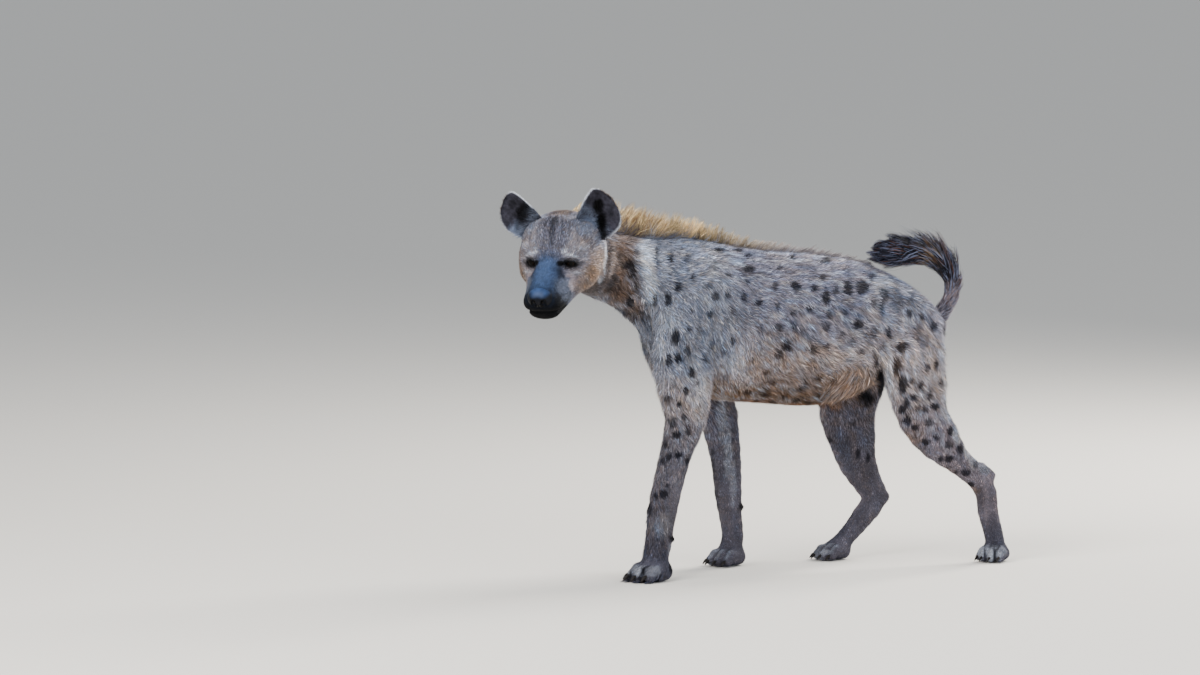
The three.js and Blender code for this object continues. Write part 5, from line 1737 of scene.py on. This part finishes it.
def nostril_cut(p):
    """Distance from the nostrils: below zero inside them."""
    q = in_head(p)
    q[:, 1] = np.abs(q[:, 1])
    least = np.full(len(p), FAR)
    for a, b in zip(NOSTRIL, NOSTRIL[1:]):
        run = b[:3] - a[:3]
        t = np.clip((q - a[:3]) @ run / (run @ run), 0, 1)
        r = mix(a[3], b[3], t)
        least = np.minimum(least, lengths(q - a[:3] - t[:, None] * run) - r)
    return least


def nose_field(p):
    """Below zero inside the nose pad, with its groove and nostrils."""
    q = in_head(p)
    ball = lengths((q - NOSE_CENTRE) / NOSE_LIMIT)
    round_pad = (ball - 1) * 24
    groove = 1.2 * np.exp(-(q[:, 1] / 1.1) ** 2) * step(-38, -46, q[:, 2])
    sunk = 2.4 * step(0.8, 1.0, ball)
    f = np.maximum(flesh(p) + 0.9 + sunk, round_pad) + groove
    return -smooth_min(-f, nostril_cut(p), 1.5)


class HYENA_OT_nose(bpy.types.Operator):
    """The moist black pad of the nose with its nostrils"""
    bl_idname = "hyena.nose"
    bl_label = "Nose"

    def execute(self, context):
        nose = made_by(bpy.ops.mesh.primitive_ico_sphere_add, subdivisions=6, radius=1)
        nose.name = "nose_pad"
        p = on_head(NOSE_CENTRE + points_of(nose) * NOSE_START)
        p = settle(nose_field, p, 5, 4)
        p = settle(nose_field, relax(nose, p, 2), 2, 2)
        set_points(nose, to_frame(in_box(p)))
        nose.data.flip_normals()  # the head's frame has turned the ball inside out
        smooth(nose)
        q = in_head(from_frame(points_of(nose)))
        sheen = step(-34, -19, q[:, 2] + 0.25 * (q[:, 0] - 112)) * (0.4 + 0.8 * noise(q, 9, 24))
        pads = lay(plain(NOSE, q), NOSE_FRONT, step(-56, -42, q[:, 2]))
        pads = lay(pads, NOSE_SHEEN, np.clip(sheen, 0, 1))
        # Black in and round the nostrils: painted shade
        store_colour(nose, pads * step(0.2, 2.5, nostril_cut(on_head(q)))[:, None])
        wear(nose, nose_material())
        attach(nose, "root")
        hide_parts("nose")
        return {"FINISHED"}


def nose_material():
    m, nodes, links, shader = new_material("nose leather", 0.42, 0.09)
    place = nodes.new("ShaderNodeTexCoord")
    cells = node(nodes, "ShaderNodeTexVoronoi", {"Scale": 700})
    links.new(place.outputs["Object"], cells.inputs["Vector"])
    colour = node(nodes, "ShaderNodeAttribute", attribute_name=COAT_COLOUR)
    links.new(colour.outputs["Color"], shader.inputs["Base Color"])
    add_bump(nodes, links, shader, cells.outputs["Distance"], 0.35, 0.0006)
    return m


def claw_piece(paw, side, reach):
    """One claw on its toe: a cylinder bent along a curve that drops to the floor."""
    add = bpy.ops.mesh.primitive_cylinder_add
    claw = made_by(add, vertices=14, radius=1, depth=2, end_fill_type="TRIFAN")
    with editing(claw):
        for z in CLAW_CUTS:
            bpy.ops.mesh.select_all(action="SELECT")
            bpy.ops.mesh.bisect(plane_co=(0, 0, z), plane_no=(0, 0, 1))
    q = points_of(claw)
    t = (q[:, 2] + 1) / 2
    path = [(reach - 9, 1.05 * side, 15.5), (reach + 4, 1.065 * side, 14), (reach + 13, 1.08 * side, 5.2)]
    spine = curve_points(path, t, 0.5)
    ahead = curve_points(path, np.minimum(t + 0.05, 1), 0.5)
    behind = curve_points(path, np.maximum(t - 0.05, 0), 0.5)
    run = unit(ahead - behind)
    across = np.array([0, 1.0, 0])
    up = np.cross(run, across)
    width = np.interp(t, CLAW_PLACES, CLAW_WIDTH)[:, None]
    height = np.interp(t, CLAW_PLACES, CLAW_HEIGHT)[:, None]
    local = spine + q[:, :1] * width * across + q[:, 1:2] * height * up
    set_points(claw, to_frame(np.array([on_paw(paw, v) for v in local])))
    store_value(claw, "along", t)
    return claw


class HYENA_OT_claws(bpy.types.Operator):
    """Four blunt curved claws on each paw"""
    bl_idname = "hyena.claws"
    bl_label = "Claws"

    def execute(self, context):
        horn = claw_material()
        for paw in PAWS:
            made = [claw_piece(paw, side, reach) for side, reach, _ in TOES.values()]
            only(made[0])
            for claw in made[1:]:
                claw.select_set(True)
            bpy.ops.object.join()
            claws = bpy.context.object
            claws.name = f"claws_{paw}"
            face_outwards(claws)
            smooth(claws)
            wear(claws, horn)
            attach(claws, "root")
            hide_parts(*[f"{paw}_claw_{toe}" for toe in TOES])
        return {"FINISHED"}


def claw_material():
    m, nodes, links, shader = new_material("claw horn", 0.6, 0.15)
    along = node(nodes, "ShaderNodeAttribute", attribute_name="along")
    ramp = nodes.new("ShaderNodeValToRGB")
    for element, colour in zip(ramp.color_ramp.elements, (HORN_ROOT, HORN_TIP)):
        element.color = (*colour, 1)
    links.new(along.outputs["Fac"], ramp.inputs["Fac"])
    links.new(ramp.outputs["Color"], shader.inputs["Base Color"])
    return m


def coat_density(p, n):
    """Tufts for each square millimetre."""
    d = mix(TUFT_DENSITY["leg"], TUFT_DENSITY["trunk"], step(260, 420, p[:, 2]))
    d = mix(d, TUFT_DENSITY["foot"], step(90, 50, p[:, 2]))
    d = mix(d, TUFT_DENSITY["head"], head_share(p))
    d = mix(d, TUFT_DENSITY["muzzle"], muzzle_share(p))
    d = d * bpy.context.scene.hyena_coat.density
    return d * (1 - nose_share(p)) * (lid_cut(p) > 0.8)


def coat_style(p):
    """Length, width and lift of the tufts at p."""
    flank = step(-150, -60, p[:, 0]) * step(380, 430, p[:, 2]) * step(640, 560, p[:, 2])
    length = mix(TUFT_LENGTH["leg"], TUFT_LENGTH["trunk"], step(180, 430, p[:, 2]))
    length = mix(length, TUFT_LENGTH["flank"], flank)
    length = mix(length, TUFT_LENGTH["neck"], step(-390, -450, p[:, 0]))
    length = mix(length, TUFT_LENGTH["foot"], step(80, 35, p[:, 2]))
    length = mix(length, TUFT_LENGTH["head"], head_share(p))
    length = mix(length, TUFT_LENGTH["muzzle"], muzzle_share(p))
    width = 0.75 + length * 0.06
    lift = mix(TUFT_LIFT["leg"], TUFT_LIFT["trunk"], step(180, 430, p[:, 2]))
    lift = mix(lift, TUFT_LIFT["head"], head_share(p))
    return length, width, lift


# Which tufts are in which piece, of those that no piece before it has taken
COAT_PIECES = {
    "coat_head": lambda p: head_share(p) > 0.5,
    "coat_neck": lambda p: (p[:, 0] < -400) & (p[:, 2] > 480),
    "coat_left_foreleg": lambda p: (p[:, 0] < 0) & (p[:, 2] < LEG_TOP) & (p[:, 1] < 0),
    "coat_right_foreleg": lambda p: (p[:, 0] < 0) & (p[:, 2] < LEG_TOP),
    "coat_left_hindleg": lambda p: (p[:, 2] < LEG_TOP) & (p[:, 1] < 0),
    "coat_right_hindleg": lambda p: p[:, 2] < LEG_TOP,
    "coat_shoulder": lambda p: p[:, 0] < -210,
    "coat_side": lambda p: p[:, 0] < 20,
    "coat_flank": lambda p: p[:, 0] < 220,
    "coat_rump": lambda p: p[:, 0] >= 220,
}


def tuft_shades(p, flow, pick):
    """How light each tuft is: streaks along the hair, clumps and each hair's own shade."""
    streak = noise(along_hair(p, flow), 7, 15) + 0.6 * noise(along_hair(p, flow), 3.5, 16)
    warmth = 0.8 * (noise(along_hair(p, flow), 13, 22) - 0.5) + 0.1 * pick.normal(size=len(p))
    tint = 1 + warmth[:, None] * [0.5, 0.05, -0.5]
    return (0.2 + streak)[:, None] * tint * np.exp(0.42 * pick.normal(size=(len(p), 1)))


class HYENA_OT_coat(bpy.types.Operator):
    """Short tufts over the whole skin, following the lie of the hair"""
    bl_idname = "hyena.coat"
    bl_label = "Coat"

    def execute(self, context):
        skin = bpy.data.objects["skin"]
        p, n, uv = sample(skin, coat_density, SEED + 30)
        pick = np.random.default_rng(SEED + 31)
        length, width, lift = coat_style(p)
        flow = lie(p, n)
        side = np.cross(flow, n)
        turn = 0.28 * pick.normal(size=len(p)) + 1.1 * (noise(p, 34, 8) - 0.5)
        d = unit(flow + side * turn[:, None])
        clump = noise(p, 11, 17) - 0.5
        length = length * pick.uniform(0.7, 1.3, len(p)) * context.scene.hyena_coat.length
        lift = np.maximum(lift * pick.uniform(0.5, 1.6, len(p)) + 0.16 * clump, 0.04)
        tip = p + (d * np.cos(lift)[:, None] + n * np.sin(lift)[:, None]) * length[:, None]
        colours = markings(mix(p, tip, 0.5), n) * tuft_shades(p, flow, pick)
        tip[:, 2] = np.maximum(tip[:, 2], 1.5)
        paths = np.stack([p - n * 0.8, tip], axis=1)
        taken = np.zeros(len(p), bool)
        material = hair_material("short hair", 0.45)
        for name, where in COAT_PIECES.items():
            here = where(p) & ~taken
            taken |= here
            coat = strand_piece(
                name, paths[here], width[here, None], side[here], FLATNESS["short"], colours[here], uv[here])
            wear(coat, material)
            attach(coat, "root")
        self.fringe(skin, material)
        return {"FINISHED"}

    def fringe(self, skin, material):
        """Longer bent tufts in the fold of the flank and down the throat."""
        p, n, uv = sample(skin, lambda q, m: FRINGE_DENSITY * (fringe_share(q, m) > 0.3), SEED + 32)
        pick = np.random.default_rng(SEED + 33)
        flow = lie(p, n)
        side = np.cross(flow, n)
        d = unit(flow + side * (0.22 * pick.normal(size=len(p)))[:, None])
        length = mix(20, 38, fringe_share(p, n)) * pick.uniform(0.7, 1.2, len(p))
        down = np.array([0, 0, -0.35])
        first = unit(d + n * 0.3)
        last = unit(d + n * 0.02 + down)
        bend = p + first * (length * FRINGE_BENDS[0])[:, None]
        tip = bend + last * (length * FRINGE_BENDS[1])[:, None]
        paths = gather(np.stack([p - n, bend, tip], axis=1), pick, *FRINGE_LOCKS)
        width = pick.uniform(1.7, 2.6, (len(p), 1)) * [1, 0.85]
        outwards = unit(n + np.sign(p[:, 1:2]) * [0, 1.0, 0])
        colours = markings(bend, outwards) * tuft_shades(p, flow, pick)
        hair = strand_piece("coat_fringe", paths, width, side, FLATNESS["fringe"], colours, uv)
        wear(hair, material)
        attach(hair, "root")


def fringe_share(p, n):
    """1 where the coat is long: the fold of the flank and under the neck."""
    neck = step(-380, -430, p[:, 0]) * step(0.0, 0.5, -n[:, 2]) * (1 - head_share(p)) * 0.6
    return np.maximum(fold_share(p), neck)


def bent_paths(start, ways, length, shares):
    """Paths from just under the skin that take a new way after each share of their length."""
    points = [start - ways[0] * 2]
    place = start
    for way, share in zip(ways, shares):
        place = place + way * (length * share)[:, None]
        points.append(place)
    return np.stack(points, axis=1)


class HYENA_OT_crest(bpy.types.Operator):
    """The crest that stands along the neck and fades down the back"""
    bl_idname = "hyena.crest"
    bl_label = "Crest"

    def execute(self, context):
        pick = np.random.default_rng(SEED + 40)
        count = context.scene.hyena_coat.crest_tufts
        t = np.sort(pick.random(count) ** 1.2)
        heights = np.interp(t, np.linspace(0, 1, len(CREST)), [c[3] for c in CREST])
        root = curve_points([c[:3] for c in CREST], t)
        across = mix(30, 15, t)
        off = np.clip(pick.normal(size=count), -2, 2) * across * 0.5
        outer = np.abs(off) / across
        neck = step(-380, -480, root[:, 0])[:, None]
        side = unit(mix(np.array([0, 1.0, 0]), np.array([-0.42, 0.9, 0]), neck))
        start = root + side * off[:, None]
        start[:, 2] += 26
        start = settle(skin_field, start, 5, 20)
        tall = step(8, 30, heights)
        length = (heights * 1.12 + 22) * pick.uniform(0.6, 1.12, count) * (1 - 0.5 * outer)
        back = unit(np.array([1.0, 0.1, 0]))
        wave = 0.35 * (noise(start, 26, 18) - 0.5)[:, None]
        loose = 0.10 * pick.normal(size=(count, 3))
        up = unit(np.array([0.12, 0, 1.0]) + side * (off / across * 0.4)[:, None] + back * wave + loose)
        n = skin_normals(start)
        flat = lie(start, n) + 0.25 * n + loose
        lean = (0.9 * step(0.35, 0.95, outer))[:, None]
        first = unit(mix(mix(back + np.array([0, 0, 0.35]), up, tall[:, None]), flat, lean))
        second = unit(mix(first + back * (0.25 + wave) + 0.5 * loose, flat, lean))
        third = unit(mix(second + back * (0.4 + wave) + 0.08 * pick.normal(size=(count, 3)), flat, lean))
        paths = bent_paths(start, (first, second, third), length, CREST_BENDS)
        paths = gather(paths, pick, *CREST_LOCKS)
        width = mix(1.4, 2.2, step(10, 60, length)) * pick.uniform(0.7, 1.2, count)
        blond = lay(CREST_BLOND, CREST_GREY, step(0.6, 0.85, t))
        lock = noise(start, 16, 23)[:, None]
        colours = blond * (0.65 + 0.7 * lock) * np.exp(0.25 * pick.normal(size=(count, 1)))
        ginger = (pick.random(count) < 0.22) * step(0.6, 0.4, t)
        colours = lay(colours, CREST_GINGER, ginger)
        colours = lay(colours, 0.9 * markings(start, n), step(0.45, 0.9, outer))
        widths, uv = width[:, None] * LONG_TAPER, nearest_uv(start)
        hair = strand_piece("crest_hair", paths, widths, side, FLATNESS["long"], colours, uv)
        wear(hair, hair_material("crest hair", 1.05, (CREST_TIP, 0.7)))
        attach(hair, "root")
        return {"FINISHED"}


def skin_normals(p):
    return unit(gradient(skin_field, p))


def nearest_uv(p):
    """The unwrapped place of the skin under each point."""
    skin = bpy.data.objects["skin"]
    q = points_of(skin)
    tree = KDTree(len(q))
    for i, c in enumerate(q):
        tree.insert(c, i)
    tree.balance()
    at = np.zeros((len(q), 2))
    at[corners_of(skin.data)] = unwrapped(skin.data)
    return np.array([at[tree.find(c)[1]] for c in to_frame(p)])


class HYENA_OT_tail(bpy.types.Operator):
    """The long brush of the tail"""
    bl_idname = "hyena.tail"
    bl_label = "Tail brush"

    def execute(self, context):
        pick = np.random.default_rng(SEED + 50)
        count = context.scene.hyena_coat.brush_tufts
        t = pick.uniform(0.16, 1, count) ** 0.85
        path = [s[:3] for s in TAIL]
        root = curve_points(path, t)
        ahead = curve_points(path, np.minimum(t + 0.02, 1))
        behind = curve_points(path, np.maximum(t - 0.02, 0))
        run = unit(ahead - behind)
        radius = np.interp(t, np.linspace(0, 1, len(TAIL)), [s[3] for s in TAIL]) * 0.7
        angle = pick.uniform(0, 2 * math.pi, count)
        a = unit(np.cross(run, np.array([0, 1.0, 0])))
        b = np.cross(run, a)
        out = a * np.cos(angle)[:, None] + b * np.sin(angle)[:, None]
        start = root + out * radius[:, None]
        whole = lengths(np.diff(TAIL_PATH, axis=0)).sum()
        length = mix(24, 84, step(0.22, 0.55, t)) * pick.uniform(0.55, 1.1, count)
        length = length * np.where(pick.random(count) < 0.12, 1.35, 1.0)
        length = np.minimum(length, (1 - t) * whole + pick.uniform(8, 48, count))
        spread = mix(0.45, 0.62, step(0.3, 0.6, t)) * mix(1, 0.45, step(0.75, 1, t))
        lifted = np.array([0, 0, 0.28]) * step(0.45, 0.6, t)[:, None] * step(-0.2, 0.6, out[:, 2:3])
        loose = 0.10 * pick.normal(size=(count, 3))
        first = unit(run + out * (spread * pick.uniform(0.5, 1.2, count))[:, None] + lifted + loose)
        second = unit(run + out * (spread * 0.5)[:, None] + loose)
        third = unit(run + second * 0.6 + np.array([0, 0, -0.18]) + 0.14 * pick.normal(size=(count, 3)))
        paths = bent_paths(start, (first, second, third), length, BRUSH_BENDS)
        point = np.array(path[-1]) + [-32, 0, 8] + 6 * pick.normal(size=(count, 3))
        paths[:, -1] = mix(paths[:, -1], point, 0.45 * step(0.7, 0.95, t)[:, None])
        paths = gather(paths, pick, *BRUSH_LOCKS)
        width = pick.uniform(1.3, 2.2, count)
        dark = lay(BRUSH_ROOT, BRUSH_DARK, step(0.24, 0.45, t))
        colours = dark * np.exp(0.35 * pick.normal(size=(count, 1)))
        colours = lay(colours, BRUSH_BROWN, 0.8 * (pick.random(count) < 0.1))
        # Some grey hairs, their blue a painted sheen
        colours = lay(colours, BRUSH_GREY_SHEEN, 0.9 * (pick.random(count) < 0.22))
        bend = step(36, 14, lengths(start - [352, 0, 674])) * (pick.random(count) < 0.3)
        colours = lay(colours, BRUSH_BEND, bend)
        across, widths, uv = np.cross(run, out), width[:, None] * LONG_TAPER, nearest_uv(start)
        hair = strand_piece("tail_brush", paths, widths, across, FLATNESS["long"], colours, uv)
        wear(hair, hair_material("tail hair", 0.8))
        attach(hair, "root")
        return {"FINISHED"}


class HYENA_OT_stage(bpy.types.Operator):
    """A pale floor, soft studio light and the camera"""
    bl_idname = "hyena.stage"
    bl_label = "Stage"

    def execute(self, context):
        studio = context.scene.hyena_studio
        floor = made_by(bpy.ops.mesh.primitive_plane_add, size=FLOOR_SIZE)
        floor.name = "studio_floor"
        material, *_, shader = new_material("pale floor", 0.9, 0.5)
        shader.inputs["Base Color"].default_value = (*studio.floor_colour, 1)
        wear(floor, material)
        world = context.scene.world or bpy.data.worlds.new("studio")
        context.scene.world = world
        world.use_nodes = True
        background = world.node_tree.nodes["Background"]
        background.inputs["Color"].default_value = (*studio.sky_colour, 1)
        background.inputs["Strength"].default_value = studio.sky
        self.camera(context.scene)
        for name, power in (("key", studio.key), ("fill", studio.fill), ("rim", studio.rim)):
            self.lamp(context.scene, name, power)
        return {"FINISHED"}

    def camera(self, scene):
        """The camera of the photograph's view."""
        data = bpy.data.cameras.new("photo_camera")
        camera = bpy.data.objects.new("photo_camera", data)
        scene.collection.objects.link(camera)
        camera.location = VIEW_AIM + SHIFT / 1000 + VIEW_BACK * CAMERA_AWAY
        camera.rotation_euler = Vector(-VIEW_BACK).to_track_quat("-Z", "Y").to_euler()
        data.sensor_width = SENSOR
        data.lens = SENSOR * CAMERA_AWAY * PIXELS_PER_METRE / PICTURE[0]
        data.clip_end = 4 * FLOOR_SIZE
        scene.camera = camera

    def lamp(self, scene, name, power):
        """A soft square lamp that points at the middle of the body."""
        right, up, near, size, tint = LIGHTS[name]
        light = bpy.data.lights.new(name, "AREA")
        light.energy = power
        light.size = size
        light.color = tint
        lamp = bpy.data.objects.new(name, light)
        scene.collection.objects.link(lamp)
        lamp.location = VIEW_RIGHT * right + VIEW_BACK * near + np.array([0, 0, up])
        lamp.rotation_euler = (Vector(LAMP_AIM) - lamp.location).to_track_quat("-Z", "Y").to_euler()


# What a user can set, and the panel

class HYENA_PG_coat(bpy.types.PropertyGroup):
    """Fineness and colours of the coat"""
    density: FloatProperty(
        name="Density", description="Tufts compared with the usual number",
        default=1.0, min=0.1, max=2, subtype="FACTOR")
    length: FloatProperty(
        name="Length", description="Length of the short tufts compared with the usual",
        default=1.0, min=0.2, max=2, subtype="FACTOR")
    crest_tufts: IntProperty(
        name="Crest tufts", description="Number of tufts in the crest", default=7000, min=100)
    brush_tufts: IntProperty(
        name="Brush tufts", description="Number of tufts in the tail brush", default=6500, min=100)
    spot_strength: FloatProperty(
        name="Spots", description="How strongly the spots show",
        default=0.95, min=0, max=1, subtype="FACTOR")
    back_colour: FloatVectorProperty(
        name="Back", description="Colour of the back",
        default=tuple(BACK), size=3, min=0, max=1, subtype="COLOR")
    flank_colour: FloatVectorProperty(
        name="Flank", description="Colour of the flanks",
        default=tuple(FLANK), size=3, min=0, max=1, subtype="COLOR")
    spot_colour: FloatVectorProperty(
        name="Spot", description="Colour of the spots",
        default=tuple(SPOT), size=3, min=0, max=1, subtype="COLOR")


class HYENA_PG_studio(bpy.types.PropertyGroup):
    """Light and floor of the studio"""
    key: FloatProperty(
        name="Key", description="Power of the main light",
        default=400, min=0, subtype="POWER", unit="POWER")
    fill: FloatProperty(
        name="Fill", description="Power of the filling light",
        default=150, min=0, subtype="POWER", unit="POWER")
    rim: FloatProperty(
        name="Rim", description="Power of the light behind",
        default=420, min=0, subtype="POWER", unit="POWER")
    sky: FloatProperty(
        name="Sky", description="Strength of the light all round",
        default=0.72, min=0, max=5, subtype="FACTOR")
    sky_colour: FloatVectorProperty(
        name="Sky colour", description="Colour of the light all round",
        default=(0.86, 0.92, 1.0), size=3, min=0, max=1, subtype="COLOR")
    floor_colour: FloatVectorProperty(
        name="Floor", description="Colour of the floor",
        default=(0.66, 0.63, 0.58), size=3, min=0, max=1, subtype="COLOR")


class HYENA_PT_panel(bpy.types.Panel):
    """The pieces of the hyena"""
    bl_idname = "HYENA_PT_panel"
    bl_label = "Hyena"
    bl_space_type = "VIEW_3D"
    bl_region_type = "UI"
    bl_category = "Hyena"

    def draw(self, context):
        for operator in OPERATORS:
            self.layout.operator(operator.bl_idname)


OPERATORS = (
    HYENA_OT_stage, HYENA_OT_skin, HYENA_OT_ears, HYENA_OT_eyes, HYENA_OT_nose, HYENA_OT_claws,
    HYENA_OT_coat, HYENA_OT_crest, HYENA_OT_tail,
)
CLASSES = (HYENA_PG_coat, HYENA_PG_studio, *OPERATORS, HYENA_PT_panel)


def register():
    for c in CLASSES:
        bpy.utils.register_class(c)
    bpy.types.Scene.hyena_coat = PointerProperty(type=HYENA_PG_coat)
    bpy.types.Scene.hyena_studio = PointerProperty(type=HYENA_PG_studio)


def unregister():
    del bpy.types.Scene.hyena_studio
    del bpy.types.Scene.hyena_coat
    for c in reversed(CLASSES):
        bpy.utils.unregister_class(c)


def main():
    register()
    for operator in OPERATORS:
        family, name = operator.bl_idname.split(".")
        getattr(getattr(bpy.ops, family), name)()


if __name__ == "__main__":
    main()
